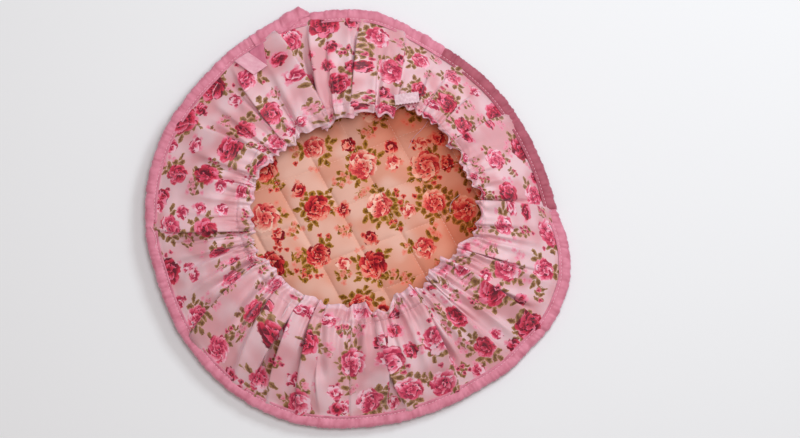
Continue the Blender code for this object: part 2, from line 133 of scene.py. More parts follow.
# Flat-bottomed hollows between folds, that stay in the dark:
# (angle at the binding, angle at the elastic, half width in degrees, depth in mm, start)
HOLLOWS = (
    (90.6, 90.4, 1.0, 3.0, 0.10), (97.8, 97.6, 0.8, 2.0, 0.45), (107.0, 107.0, 2.0, 3.4, 0.30),
    (132.6, 132.6, 0.8, 2.2, 0.60), (186.6, 186.2, 0.9, 2.6, 0.05), (240.5, 237.3, 1.6, 5.0, 0.05),
    (260.0, 254.6, 1.7, 4.6, 0.30), (281.2, 282.2, 2.6, 5.8, 0.42), (303.0, 302.6, 1.5, 4.2, 0.25),
    (332.0, 332.8, 1.2, 3.2, 0.10), (36.4, 36.3, 1.0, 2.2, 0.15), (224.5, 216.5, 2.2, 4.0, 0.35),
    (248.5, 246.0, 1.1, 3.6, 0.50), (5.2, 6.6, 1.0, 2.2, 0.10), (292.0, 292.6, 1.0, 3.0, 0.45),
    (269.6, 269.2, 1.0, 2.6, 0.55), (209.5, 203.5, 1.3, 3.2, 0.40), (122.6, 123.6, 1.0, 2.6, 0.50),
)
GATHER_LIMIT = 1.75
SEAM_FOLD = 51                       # the strip's two ends are joined on this fold

LOOP_ANGLE = 123.6
LOOP_HALF_WIDTH = 7.2 * MM
LOOP_THICK = 0.8 * MM
# (along the binding, in from the binding, layer), all in mm but the layer
LOOP_ROWS = ((7.3, 0.4, 1), (3.6, 10.0, 1), (0.4, 18.6, 1), (0.0, 19.9, 0.5),
             (-0.4, 18.6, 0), (-4.2, 10.0, 0), (-8.5, 0.4, 0))
LAYER_STEP = 1.6 * MM
LOOP_FOOT = 1.0 * MM
LOOP_CREST = 19.0 * MM
STRIP_ANGLE = 68.2
STRIP_RADIUS = 111.5 * MM
STRIP_LENGTH = 21.0 * MM
STRIP_WIDTH = 9.0 * MM
STRIP_THICK = 1.0 * MM
STRIP_TURN = 29.0

# ==== sizes that only the looks need ===============================================
BOUND_RADIUS = 180.0 * MM            # of the flat strip's bound edge, on the average
CLOTH_UNDER_BINDING = 7.0 * MM       # of the skirt's flat strip
CLOTH_WIDTH = 82.0 * MM              # from the binding to the elastic
FRILL_WIDTH = 17.0 * MM              # from the elastic to the free edge
BINDING_CUT = 30.0 * MM              # width of the bias strip before it is folded
STEPS_PER_FOLD = 12                  # columns of the fine skirt in one fold
PUCKER_PITCH = 6.8 * MM              # small gathers on the elastic
PUCKER_DEPTH = 1.6 * MM
PUCKER_REACH = 13.0 * MM             # how far they run out into the skirt
RUFFLE_PITCH = 17.0 * MM             # waves of the frill's free edge, on the flat cloth
RUFFLE_HEIGHT = 3.5 * MM
SEAM_DEPTH = 2.4 * MM                # of the join in the skirt's strip
THREAD = 0.55 * MM
WEAVE_MM = 0.9                       # real threads are about 0.35 mm; coarser, to show


# ==== small helpers ================================================================
def srgb(hex_code):
    """Linear colour of an sRGB hex code."""
    values = [int(hex_code[i:i + 2], 16) / 255 for i in (1, 3, 5)]
    linear = [v / 12.92 if v <= 0.04045 else ((v + 0.055) / 1.055) ** 2.4 for v in values]
    return (*linear, 1.0)


def around(table, angle, column=1):
    """Smooth closed curve through a table's rows, without overshoot between them."""
    angle = angle % 360.0
    right = bisect.bisect_right([row[0] for row in table], angle)

    def row(index):
        turn, place = divmod(index, len(table))
        return table[place][0] + 360.0 * turn, table[place][column]

    x = [row(right - 2 + k)[0] for k in range(4)]
    y = [row(right - 2 + k)[1] for k in range(4)]
    return hermite(x, y, angle)


def hermite(x, y, at):
    """Cubic through the middle two of four points, level at peaks and dips."""
    slope = [(y[k + 1] - y[k]) / (x[k + 1] - x[k]) for k in range(3)]

    def tangent(before, after):
        return 0.0 if before * after <= 0 else 2 * before * after / (before + after)

    span = x[2] - x[1]
    t = (at - x[1]) / span
    start = tangent(slope[0], slope[1]) * span
    end = tangent(slope[1], slope[2]) * span
    return ((2 * t ** 3 - 3 * t ** 2 + 1) * y[1] + (t ** 3 - 2 * t ** 2 + t) * start
            + (3 * t ** 2 - 2 * t ** 3) * y[2] + (t ** 3 - t ** 2) * end)


def along(table, place):
    """Smooth reading of an open two-column table."""
    rows = [(2 * table[0][0] - table[1][0], 2 * table[0][1] - table[1][1]), *table,
            (2 * table[-1][0] - table[-2][0], table[-1][1])]
    place = min(max(place, table[0][0]), table[-1][0])
    k = 1
    while k < len(table) and table[k][0] < place:
        k += 1
    part = rows[k - 1:k + 3]
    return hermite([r[0] for r in part], [r[1] for r in part], place)


def smooth_step(value):
    value = min(max(value, 0.0), 1.0)
    return value * value * (3 - 2 * value)


def bump_at(distance, width):
    """1 at nought, falling smoothly away over the width on both sides."""
    return math.exp(-(distance / width) ** 2)


def polar(radius, angle, height=0.0):
    turn = math.radians(angle)
    return Vector((radius * math.cos(turn), radius * math.sin(turn), height))


def rim_radius(angle):
    return around(RIM, angle) * MM


def binding_extra(angle):
    """How far the overlapped end of the binding stands out past its outline."""
    past = (angle - BINDING_END_ANGLE + 180.0) % 360.0 - 180.0
    if not BINDING_END[0][0] < past < BINDING_END[-1][0]:
        return 0.0
    for (x0, y0), (x1, y1) in zip(BINDING_END, BINDING_END[1:]):
        if past <= x1:
            return (y0 + (y1 - y0) * (past - x0) / (x1 - x0)) * MM
    return 0.0


def rim_height(angle):
    return around(RIM_HEIGHT, angle) * MM


def outline_centre():
    """Middle of the binding's own box, which lies over the origin."""
    angles = [0.5 * k for k in range(720)] + [BINDING_END_ANGLE]
    points = [polar(rim_radius(a) + binding_extra(a), a) for a in angles]
    xs = [p.x for p in points]
    ys = [p.y for p in points]
    return Vector(((min(xs) + max(xs)) / 2, (min(ys) + max(ys)) / 2, 0.0))


CENTRE = outline_centre()
SCENE = bpy.context.scene


def add_object(name, bm, *materials):
    mesh = bpy.data.meshes.new(name)
    bm.to_mesh(mesh)
    bm.free()
    mesh.shade_smooth()
    for material in materials:
        mesh.materials.append(material)
    obj = bpy.data.objects.new(name, mesh)
    SCENE.collection.objects.link(obj)
    return obj


def sheet_mesh(columns, uvs, closed=True):
    """Faces over columns of points; uvs gives each corner its place on the flat cloth."""
    bm = bmesh.new()
    layer = bm.loops.layers.uv.new("cloth")
    verts = [[bm.verts.new(point) for point in column] for column in columns]
    count = len(columns) if closed else len(columns) - 1
    for i in range(count):
        near, far = verts[i], verts[(i + 1) % len(columns)]
        for j in range(len(near) - 1):
            face = bm.faces.new((near[j], far[j], far[j + 1], near[j + 1]))
            corners = (uvs[i][j], uvs[i + 1][j], uvs[i + 1][j + 1], uvs[i][j + 1])
            for loop, uv in zip(face.loops, corners):
                loop[layer].uv = uv
    return bm


def applied(obj):
    """The object with its modifiers made part of its mesh."""
    bpy.context.view_layer.update()
    graph = bpy.context.evaluated_depsgraph_get()
    mesh = bpy.data.meshes.new_from_object(obj.evaluated_get(graph))
    obj.modifiers.clear()
    obj.data = mesh
    return obj


def finished_sheet(name, bm, material, thickness):
    """A sheet of faces made cloth of a thickness, half of it to each side."""
    bmesh.ops.recalc_face_normals(bm, faces=bm.faces)
    obj = add_object(name, bm, material)
    modifier = obj.modifiers.new("Cloth thickness", "SOLIDIFY")
    modifier.thickness = thickness
    modifier.offset = 0.0
    return applied(obj)


# ==== the skirt's shape ============================================================
def fold_line(index, inner):
    """Angle of a fold at a share of the way from the binding to the elastic."""
    turn, place = divmod(index, len(FOLDS))
    at_rim, at_ring = FOLDS[place][:2]
    return at_rim * (1 - inner) + at_ring * inner + 360.0 * turn


def between_folds(place, inner):
    """Angle at a place that is counted in folds."""
    index = math.floor(place)
    phase = place - index
    return fold_line(index, inner) * (1 - phase) + fold_line(index + 1, inner) * phase


def ridge(across, width, reach):
    """Section of one gather: a soft-topped crest that has died away at its reach."""
    steep = math.sqrt((across / width) ** 2 + 0.10) - 0.316
    return math.exp(-steep) * max(1 - (across / reach) ** 2, 0.0) ** 2


def fold_size(index, inner, radius, fullness):
    """Height of one crest: it takes up the fullness of the cloth on both of its sides.
    Strong folds start at the binding, weak ones only part of the way in."""
    between = fold_line(index + 1, inner) - fold_line(index - 1, inner)
    spacing = math.radians(between) / 2 * radius
    strength = FOLDS[index % len(FOLDS)][2]
    started = smooth_step((inner - 0.74 + 0.8 * strength) / 0.5)
    spare = min(fullness, GATHER_LIMIT) ** 2 - 0.86
    return 0.84 * strength ** 1.3 * spacing * math.sqrt(max(spare, 0.0)) * started


def hollow_depth(angle, inner):
    """How far the cloth is sunk into one of the flat-bottomed hollows."""
    depth = 0.0
    for at_rim, at_ring, half, most, start in HOLLOWS:
        if inner > start:
            middle = at_rim + (at_ring - at_rim) * inner
            off = ((angle - middle + 180.0) % 360.0 - 180.0) / half
            if abs(off) < 3:
                # flat at the bottom, with a low lip along each side
                section = 1.6 / (1 + off ** 6) - 0.35 * bump_at(abs(off) - 1.6, 0.45)
                depth += most * MM * smooth_step((inner - start) / 0.25) * section
    return depth


# Rows of the skirt's mesh: 0 at the binding, 1 at the elastic, 2 at the frill's edge
REACHES = ([k / 26 for k in range(21)] + [0.83, 0.855, 0.88, 0.9, 0.92, 0.935, 0.95, 0.96, 0.97,
                                          0.98, 0.99, 1.0, 1.03, 1.07, 1.12, 1.18, 1.25, 1.33,
                                          1.42, 1.51, 1.6, 1.69, 1.77, 1.85, 1.92, 1.97, 2.0])
HIGHEST = 46.0 * MM                  # no gather stands up past this
SUNK_BY = 0.684 * MM                 # the whole skirt, so that its mean height is the solid's
HIGH_SIDE = (258.0, 44.0)            # angle, half width: gathers stand higher here
TIGHT_SIDE = (160.0, 45.0)           # and the elastic pulls tighter here
LEAN_SHARE = 0.75                    # of its height that a fold flops over sideways
BAY_ROUNDING = 3.0 * MM              # of the frill, between two gathers
CASING_SINK = 1.4 * MM               # at the casing's line of stitching
CASING_SWELL = 1.2 * MM
UNEVEN = 1.5 * MM                    # soft unevenness between the folds
CREASE = 0.9 * MM                    # slanting creases
CRUMPLE = 0.35 * MM


def gathers_at(index, inner, here, radius, fullness):
    """What the folds near a place add up to: how far the cloth stands up, how far it has
    flopped over to one side, and its share of full crests."""
    crest = lean_by = share = 0.0
    for k in (-1, 0, 1, 2):
        fold = index + k
        lean = FOLDS[fold % len(FOLDS)][3]
        ahead = 1 if k < 1 else -1       # which side of the fold this point is on
        middle = fold_line(fold, inner)
        across, next_fold, reach = [
            math.radians(abs(angle - middle)) * radius
            for angle in (here, fold_line(fold + ahead, inner), fold_line(fold + 2 * ahead, inner))]
        if across >= reach:
            continue
        size = fold_size(fold, inner, radius, fullness)
        width = 0.34 * next_fold * max(1 - 0.72 * lean * ahead, 0.22)
        part = size * ridge(across, width, reach)
        crest += part
        lean_by += lean * part
        share += part / max(size, MM)
    return crest, lean_by, share


def small_gathers(strip, reach, frill, ring_angle):
    """Height that the elastic's own small gathers add. They run out into the skirt and die
    away there, and the casing swells between its line of stitching and the free edge."""
    from_ring = (reach - 1.0) * (CLOTH_WIDTH if reach < 1 else FRILL_WIDTH)
    wander = 0.9 * noise.noise(Vector((strip * 60, from_ring * 40, 7.0)))
    wave = math.sin(math.pi * (strip / PUCKER_PITCH + wander))
    pucker = 1 - 1.9 * math.sqrt(wave ** 2 + 0.025)
    fade = math.exp(from_ring / PUCKER_REACH) if from_ring < 0 else 1.0 + 0.3 * frill
    pinch = 0.8 + 1.2 * noise.noise(Vector((strip * 48, 0.0, 13.0)))
    tight = bump_at(ring_angle - TIGHT_SIDE[0], TIGHT_SIDE[1])
    height = PUCKER_DEPTH * max(pinch + 0.6 * tight, 0.15) * fade * pucker
    stitched = 0.9 + 0.9 * noise.noise(Vector((strip * 55, 0.0, 11.0)))
    sink = CASING_SINK * (0.35 + 0.65 * tight) * max(stitched, 0.2)
    return height - sink * bump_at(from_ring, 1.5 * MM) + CASING_SWELL * math.sin(math.pi * frill)


def unevenness(strip, reach):
    """Soft waves between the folds, a few slanting creases and a faint crumple."""
    soft = noise.noise(Vector((strip * 42, reach * 2.2, 1.0)))
    crease = noise.noise(Vector((strip * 36 + reach * 1.2, reach * 2.0 - strip * 9, 3.0)))
    fine = noise.noise(Vector((strip * 150, reach * 6.0, 4.0)))
    height = UNEVEN * soft + CREASE * max(1 - abs(crease) * 5, 0.0) ** 2 + CRUMPLE * fine
    return height * smooth_step(reach * 4)


def ruffle_at(strip, frill):
    """The frill's waving edge: how far in and how far up it moves a point."""
    fine = noise.noise(Vector((strip * 105, 0.4 * frill, 9.0)))
    wave = math.pi * (strip / RUFFLE_PITCH + 1.1 * noise.noise(Vector((strip * 30, 0, 6))))
    curl = RUFFLE_HEIGHT * frill * (0.75 + noise.noise(Vector((strip * 40, 0, 8))))
    # small round tips with wider bays between them
    tip = 1 - 1.8 * math.sqrt(math.sin(wave) ** 2 + 0.06)
    return 0.8 * curl * tip - 2.6 * MM * frill * fine, curl * (tip + 0.3)


def skirt_column(place):
    """Points of the skirt from under the binding to the frill's edge; place counts folds."""
    rim_angle = between_folds(place, 0.0)
    ring_angle = between_folds(place, 1.0)
    lip = rim_radius(rim_angle) - BINDING_WIDTH - GAP
    ring = around(ELASTIC, ring_angle) * MM
    edge = around(FRILL, ring_angle) * MM
    foot = rim_height(rim_angle) + SKIRT_EDGE_MID
    ring_height = around(ELASTIC, ring_angle, 2) * MM
    limit = HIGHEST - ring_height
    strip = math.radians(rim_angle) * BOUND_RADIUS
    points = [polar(rim_radius(rim_angle) - EDGE_DEPTH, rim_angle, foot)]
    for reach in REACHES:
        inner = min(reach, 1.0)
        frill = max(reach - 1.0, 0.0)
        radius = lip + (ring - lip) * inner + (edge - ring) * frill
        here = rim_angle * (1 - inner) + ring_angle * inner
        fullness = lip / radius
        crest, lean_by, share = gathers_at(math.floor(place), inner, here, radius, fullness)
        crest *= 1 + 0.45 * inner * bump_at(ring_angle % 360 - HIGH_SIDE[0], HIGH_SIDE[1])
        crest = limit * math.tanh(crest / limit)
        crest = math.hypot(crest, BAY_ROUNDING * frill)
        crest -= SUNK_BY * fullness ** 3 * smooth_step(inner / 0.3)
        crest -= hollow_depth(here, inner) * (1 - 0.6 * frill)
        angle = here + math.degrees(LEAN_SHARE * lean_by / radius)
        height = foot + (ring_height - foot) * along(RISE, inner) + crest * (1 - 0.15 * frill)

        from_seam = math.radians((here - fold_line(SEAM_FOLD, inner) + 180) % 360 - 180) * radius
        height -= SEAM_DEPTH * bump_at(from_seam, 0.8 * MM)
        height += small_gathers(strip, reach, frill, ring_angle) + unevenness(strip, reach)
        if frill:
            moved_in, moved_up = ruffle_at(strip, frill)
            radius -= 2.2 * MM * frill * (share - 0.5) + moved_in
            height += moved_up
        points.append(polar(radius, angle, height))
    return [point - CENTRE for point in points]


def cloth_column(place):
    """Places on the flat strip, in metres: along it from its seam, and across it."""
    run = math.radians(between_folds(place, 0.0) - fold_line(SEAM_FOLD, 0.0)) * BOUND_RADIUS
    across = [min(reach, 1.0) * CLOTH_WIDTH + max(reach - 1.0, 0.0) * FRILL_WIDTH
              for reach in REACHES]
    return [(run, v) for v in [-CLOTH_UNDER_BINDING] + across]


def build_skirt(material):
    """The skirt, and the line along its casing that the stitches of the casing lie on."""
    places = [SEAM_FOLD + k / STEPS_PER_FOLD for k in range(len(FOLDS) * STEPS_PER_FOLD + 1)]
    columns = [skirt_column(place) for place in places[:-1]]
    row = REACHES.index(1.0) + 1
    casing = []
    for k, column in enumerate(columns):
        sideways = columns[(k + 1) % len(columns)][row] - columns[k - 1][row]
        up = (column[row + 1] - column[row - 1]).cross(sideways).normalized()
        casing.append(column[row] + up * SKIRT_THICK * (0.45 if up.z > 0 else -0.45))
    bm = sheet_mesh(columns, [cloth_column(place) for place in places])
    return finished_sheet("skirt", bm, material, SKIRT_THICK * 0.8), casing


# ==== the pad's shape ==============================================================
def quilt_lines_crossing(first_count, second_count):
    """Point in plan where two grid lines cross, each counted in pitches from its first."""
    crossing = []
    for (direction, pitch, first), count in ((QUILT_LONG, first_count),
                                             (QUILT_CROSS, second_count)):
        turn = math.radians(direction + 90.0)
        crossing.append((math.cos(turn), math.sin(turn), first + count * pitch))
    (ax, ay, da), (bx, by, db) = crossing
    scale = ax * by - ay * bx
    return Vector(((da * by - db * ay) / scale, (ax * db - bx * da) / scale, 0.0))


# Where the pad's grid lines fall in one pitch: close together by the stitch lines
QUILT_SHARES = (0.0, 0.02, 0.05, 0.09, 0.14, 0.2, 0.28, 0.38, 0.5, 0.62, 0.72, 0.8, 0.86,
                0.91, 0.95, 0.98)


def quilt_count(index):
    whole, part = divmod(index, len(QUILT_SHARES))
    return whole + QUILT_SHARES[part]


def from_stitch_line(point, lines):
    """Distance to the nearest line of one set, and place along it."""
    direction, pitch, first = lines
    turn = math.radians(direction + 90.0)
    across = point.x * math.cos(turn) + point.y * math.sin(turn)
    run = -point.x * math.sin(turn) + point.y * math.cos(turn)
    count = (across - first) / pitch
    return abs(count - round(count)) * pitch, run, round(count)


PAD_SWELL = 0.9 * MM                 # uneven filling between the lines
RIPPLE = 0.28 * MM                   # small crosswise puckers along a quilting line
RIPPLE_PITCH = 7.0 * MM
EDGE_RIPPLE = 0.25 * MM              # the same on the underside, by the binding
EDGE_RIPPLE_PITCH = 9.0 * MM


def pad_heights(point):
    """Height of the underside and the top of the pad at a point in plan."""
    angle = math.degrees(math.atan2(point.y, point.x))
    rim = rim_radius(angle)
    radius = point.to_2d().length
    low_edge = rim_height(angle) + PAD_EDGE_LOW
    band = rim - BINDING_WIDTH
    low = low_edge * smooth_step((radius - FLOOR_RADIUS) / (band - FLOOR_RADIUS))
    puff = smooth_step((band - radius) / PAD_EDGE_BAND)
    high = low + PAD_EDGE_THICK + (PAD_THICK - PAD_EDGE_THICK) * puff
    draw_in = 0.0
    ripple = 0.0
    for number, lines in enumerate((QUILT_LONG, QUILT_CROSS)):
        gap, run, count = from_stitch_line(point, lines)
        depth = PILLOW_SHARE[number] * math.exp(-gap / (8.0 * MM))
        depth += 0.35 * math.exp(-gap / (1.6 * MM))
        draw_in = max(draw_in, depth)
        wander = 1.2 * noise.noise(Vector((run * 45, count * 3.7, number * 5.0)))
        ripple += math.exp(-gap / (5.5 * MM)) * math.cos(math.tau * (run / RIPPLE_PITCH + wander))
    swell = PAD_SWELL * noise.noise(Vector((point.x * 28, point.y * 28, 2.0)))
    top = high + puff * (swell + RIPPLE * ripple - STITCH_DEPTH * draw_in)
    bottom = low + puff * (0.5 * STITCH_DEPTH * draw_in + 0.18 * MM * (ripple + 1) * draw_in)
    hem = bump_at(radius - band, 7 * MM)
    run = math.radians(angle) * BOUND_RADIUS
    wander = noise.noise(Vector((angle * 0.2, 0, 0)))
    edge_ripple = 1 + math.cos(math.tau * (run / EDGE_RIPPLE_PITCH + wander))
    bottom += EDGE_RIPPLE * hem * edge_ripple * (radius < band - 0.5 * MM)
    return bottom, top


def build_pad(lining, outer):
    """Filled disc: a grid that follows the quilting, a plain border, then both faces."""
    steps = len(QUILT_SHARES)
    cells = 12 * steps
    bm = bmesh.new()
    bmesh.ops.create_grid(bm, x_segments=cells, y_segments=cells, size=1.0)
    bm.verts.ensure_lookup_table()
    for index, vert in enumerate(bm.verts):
        row, column = [count - cells // 2 for count in divmod(index, cells + 1)]
        vert.co = quilt_lines_crossing(quilt_count(row), quilt_count(column))

    def edge(point, inset):
        angle = math.degrees(math.atan2(point.y, point.x))
        return polar(rim_radius(angle) - inset, angle)

    start = BINDING_WIDTH + PAD_BORDER
    outside = [v for v in bm.verts if v.co.length > edge(v.co, start - 0.6 * MM).length]
    bmesh.ops.delete(bm, geom=outside, context="VERTS")
    insets = [start - 1.0 * MM * k for k in range(6)] + [BINDING_WIDTH - 0.5 * MM, EDGE_DEPTH]
    for inset in insets:
        border = [e for e in bm.edges if e.is_boundary]
        if inset != start:
            grown = bmesh.ops.extrude_edge_only(bm, edges=border)["geom"]
            border = [e for e in grown if isinstance(e, bmesh.types.BMEdge) and e.is_boundary]
        for vert in {v for e in border for v in e.verts}:
            vert.co = edge(vert.co, inset)
    layer = bm.loops.layers.uv.new("cloth")
    for face in bm.faces:
        for loop in face.loops:
            loop[layer].uv = loop.vert.co.xy
    grown = bmesh.ops.extrude_face_region(bm, geom=list(bm.faces))["geom"]
    top = {v for v in grown if isinstance(v, bmesh.types.BMVert)}
    for vert in bm.verts:
        bottom_height, top_height = pad_heights(vert.co)
        vert.co.z = top_height if vert in top else max(bottom_height, 0.0)
    for face in bm.faces:
        face.material_index = 0 if all(v in top for v in face.verts) else 1
    bmesh.ops.translate(bm, verts=bm.verts, vec=-CENTRE)
    bmesh.ops.recalc_face_normals(bm, faces=bm.faces)
    # Extruding leaves points and faces in an order that is not the same each run.
    for items, place in ((bm.verts, lambda v: v.co[:]),
                         (bm.faces, lambda f: sorted(v.co[:] for v in f.verts))):
        for number, item in enumerate(sorted(items, key=place)):
            item.index = number
        items.sort()
    return add_object("pad", bm, lining, outer)


# ==== the binding's shape ==========================================================
BINDING_START = 3.0                  # degrees, where the binding starts, and where its painted shade begins: a darker pink for the stretch that turns away from the light
SHADE_STRIP_END = 63.5                  # and where that painted shade ends
# Sharp crosswise nips: (angle, depth in mm)
BINDING_NIPS = ((2.5, 0.9), (19, 0.3), (33, 0.6), (44, 0.7), (52, 0.3), (63.5, 0.9), (73, 0.7),
                (80, 0.3), (127, 0.7), (147, 0.8), (161, 0.5), (187, 0.5), (303, 0.5),
                (316, 0.6), (329, 0.9), (343, 0.9), (352, 0.8))
# Rows of points over the flat of the binding, in fifths of its width from the inner edge
BINDING_ROWS = (0.0, 0.35, 0.7, 1.0, 1.3, 1.65, 2.2, 3.0, 4.0)
SEAM_IN = 2.4 * MM                   # the line of stitching, in from the lip


def binding_section(angle, inner, outer, half):
    """Points of one folded section, from its upper lip round the outside to its lower lip."""
    base = rim_height(angle)
    points = []
    flat = (outer - half - inner) / 5
    for k in BINDING_ROWS:
        points.append((inner + flat * k, half))
    for turn in (90, 72, 54, 36, 18, 0, -18, -36, -54, -72, -90):
        reach = half * math.cos(math.radians(turn))
        points.append((outer - half + reach, half * math.sin(math.radians(turn))))
    for k in reversed(BINDING_ROWS):
        points.append((inner + flat * k, -half))
    return [(radius, base + height) for radius, height in points]


def binding_ruckle(angle, share):
    """How far the strip stands out or in, from the crosswise ruckles of a bias strip."""
    run = math.radians(angle) * BOUND_RADIUS / MM
    skew = run + 2.5 * (share - 0.5)
    fine = noise.noise(Vector((skew * 0.50, share * 1.2, 0.0)))
    broad = noise.noise(Vector((skew * 0.13, share * 1.1, 5.0)))
    nip = sum(depth * bump_at((angle - place + 180) % 360 - 180, 0.45)
              for place, depth in BINDING_NIPS)
    return (0.85 * fine + 0.55 * broad - 0.75 * nip) * MM


def swept_binding(name, angles, inner_at, outer_at, lift, material, closed):
    columns = []
    uvs = []
    half = SLOT_HALF + BINDING_CLOTH / 2 + lift
    for angle in angles:
        section = binding_section(angle, inner_at(angle), outer_at(angle), half)
        middle = outer_at(angle) - half
        base = rim_height(angle)
        column = []
        for k, (radius, height) in enumerate(section):
            share = k / (len(section) - 1)
            out = Vector((max(radius - middle, 0.0), 0, height - base)).normalized()
            # held flat along the line of stitching by each lip
            from_lip = min(k, len(section) - 1 - k)
            from_lip = (BINDING_ROWS[from_lip] if from_lip < len(BINDING_ROWS) else 5.0)
            from_seam = from_lip * (middle - inner_at(angle)) / 5 - SEAM_IN
            held = 1 - 0.75 * bump_at(from_seam, 2.2 * MM)
            push = binding_ruckle(angle, share) * held
            press = 0.75 * MM * bump_at(from_seam, 0.9 * MM)
            moved = (radius + out.x * (push - press), height + out.z * (push - press))
            column.append(polar(moved[0], angle, moved[1]) - CENTRE)
        columns.append(column)
        across = [BINDING_CUT * k / (len(section) - 1) for k in range(len(section))]
        uvs.append([(math.radians(angle) * BOUND_RADIUS, v) for v in across])
    if closed:
        uvs.append([(run + math.tau * BOUND_RADIUS, v) for run, v in uvs[0]])
    bm = sheet_mesh(columns, uvs, closed=closed)
    return finished_sheet(name, bm, material, BINDING_CLOTH * 0.8)


def build_binding(material):
    angles = [BINDING_START + 0.3 * k for k in range(1200)]
    return swept_binding("binding", angles,
                         lambda a: rim_radius(a) - BINDING_WIDTH,
                         lambda a: rim_radius(a) - BINDING_CLOTH / 2, 0.0, material, True)


def build_binding_end(material):
    """The end of the strip, turned under on the slant and laid over its beginning."""
    first, last = BINDING_END_ANGLE - 2.3, BINDING_END_ANGLE + 15.0

    def inner(angle):
        slant = smooth_step((angle - first) / 9.0)
        return rim_radius(angle) - 3.0 * MM - (BINDING_WIDTH - 3.0 * MM) * slant

    def outer(angle):
        return rim_radius(angle) + max(binding_extra(angle), 0.2 * MM)

    angles = [first + (last - first) * k / 70 for k in range(71)]
    return swept_binding("binding_end", angles, inner, outer, 0.9 * MM, material, False)


# ==== ribbon loop and elastic ======================================================
def surface_height(tree, point):
    """Height of what lies under a point in plan, or nought over the open mouth."""
    hit = tree.ray_cast(Vector((point.x, point.y, 1.0)), Vector((0, 0, -1)))[0]
    return hit.z if hit else 0.0


def build_loop(tree, material):
    """Ribbon folded back over itself, both ends caught under the binding."""
    start = polar(rim_radius(LOOP_ANGLE) - BINDING_WIDTH, LOOP_ANGLE) - CENTRE
    inward = -polar(1.0, LOOP_ANGLE)
    side = Vector((0, 0, 1)).cross(-inward)
    foot = surface_height(tree, start + inward * LOOP_FOOT)
    crest = surface_height(tree, start + inward * LOOP_CREST)
    slope = (crest - foot) / (LOOP_CREST - LOOP_FOOT)
    shares = [k / 8 - 1 for k in range(17)]
    fine = []
    for k in range(len(LOOP_ROWS) - 1):
        for step in range(8):
            part = [LOOP_ROWS[min(max(k - 1 + m, 0), len(LOOP_ROWS) - 1)] for m in range(4)]
            t = step / 8
            fine.append([0.5 * (2 * b + (c - a) * t + (2 * a - 5 * b + 4 * c - d) * t * t
                                + (3 * b - a - 3 * c + d) * t ** 3)
                         for a, b, c, d in zip(*part)])
    fine.append(list(LOOP_ROWS[-1]))
    rows = []
    lift = -1.0
    for beside, inset, layer in fine:
        height = foot + slope * (inset * MM - LOOP_FOOT) + layer * LAYER_STEP
        spot = start + inward * inset * MM + side * beside * MM
        row = [spot + side * LOOP_HALF_WIDTH * share for share in shares]
        rows.append([Vector((p.x, p.y, height)) for p in row])
        lift = max([lift] + [surface_height(tree, p) - height for p in row])
    lift += GAP + LOOP_THICK / 2
    columns = []
    uvs = []
    for r, row in enumerate(rows):
        column = []
        for share, point in zip(shares, row):
            curl = 0.5 * MM * noise.noise(Vector((share * 1.3, r * 0.09, 2.0)))
            column.append(point + Vector((0, 0, lift + curl + 0.35 * MM * share ** 4)))
        columns.append(column)
        uvs.append([(r * 0.0009, share * LOOP_HALF_WIDTH) for share in shares])
    bm = sheet_mesh(columns, uvs, closed=False)
    return finished_sheet("ribbon_loop", bm, material, LOOP_THICK)


def build_strip(tree, material):
    """Flat knitted elastic that shows where the casing is left open."""
    middle = polar(STRIP_RADIUS, STRIP_ANGLE) - CENTRE
    turn = math.radians(STRIP_ANGLE + 90.0 + STRIP_TURN)
    length = Vector((math.cos(turn), math.sin(turn), 0)) * STRIP_LENGTH
    width = Vector((-length.y, length.x, 0)).normalized() * STRIP_WIDTH
    scallop = [1 + 0.07 * math.cos(math.tau * i / 8) for i in range(65)]
    plan = [[middle + length * (i / 64 - 0.5) + width * (j / 14 - 0.5) * scallop[i]
             for j in range(15)] for i in range(65)]
    lift = max(surface_height(tree, p) for column in plan for p in column)
    lift += GAP + STRIP_THICK / 2
    columns = []
    uvs = []
    for i, column in enumerate(plan):
        bow = 1.2 * MM * math.cos(math.pi * (i / 64 - 0.5)) - 1.2 * MM
        rib = [0.14 * MM * math.cos(math.pi * j) for j in range(15)]
        columns.append([Vector((p.x, p.y, lift + bow + r)) for p, r in zip(column, rib)])
        uvs.append([(i / 64 * STRIP_LENGTH, j / 14 * STRIP_WIDTH) for j in range(15)])
    bm = sheet_mesh(columns, uvs, closed=False)
    return finished_sheet("elastic", bm, material, STRIP_THICK * 0.6)


# ==== sewing =======================================================================
STITCH = 2.3 * MM
STITCH_GAP = 0.8 * MM


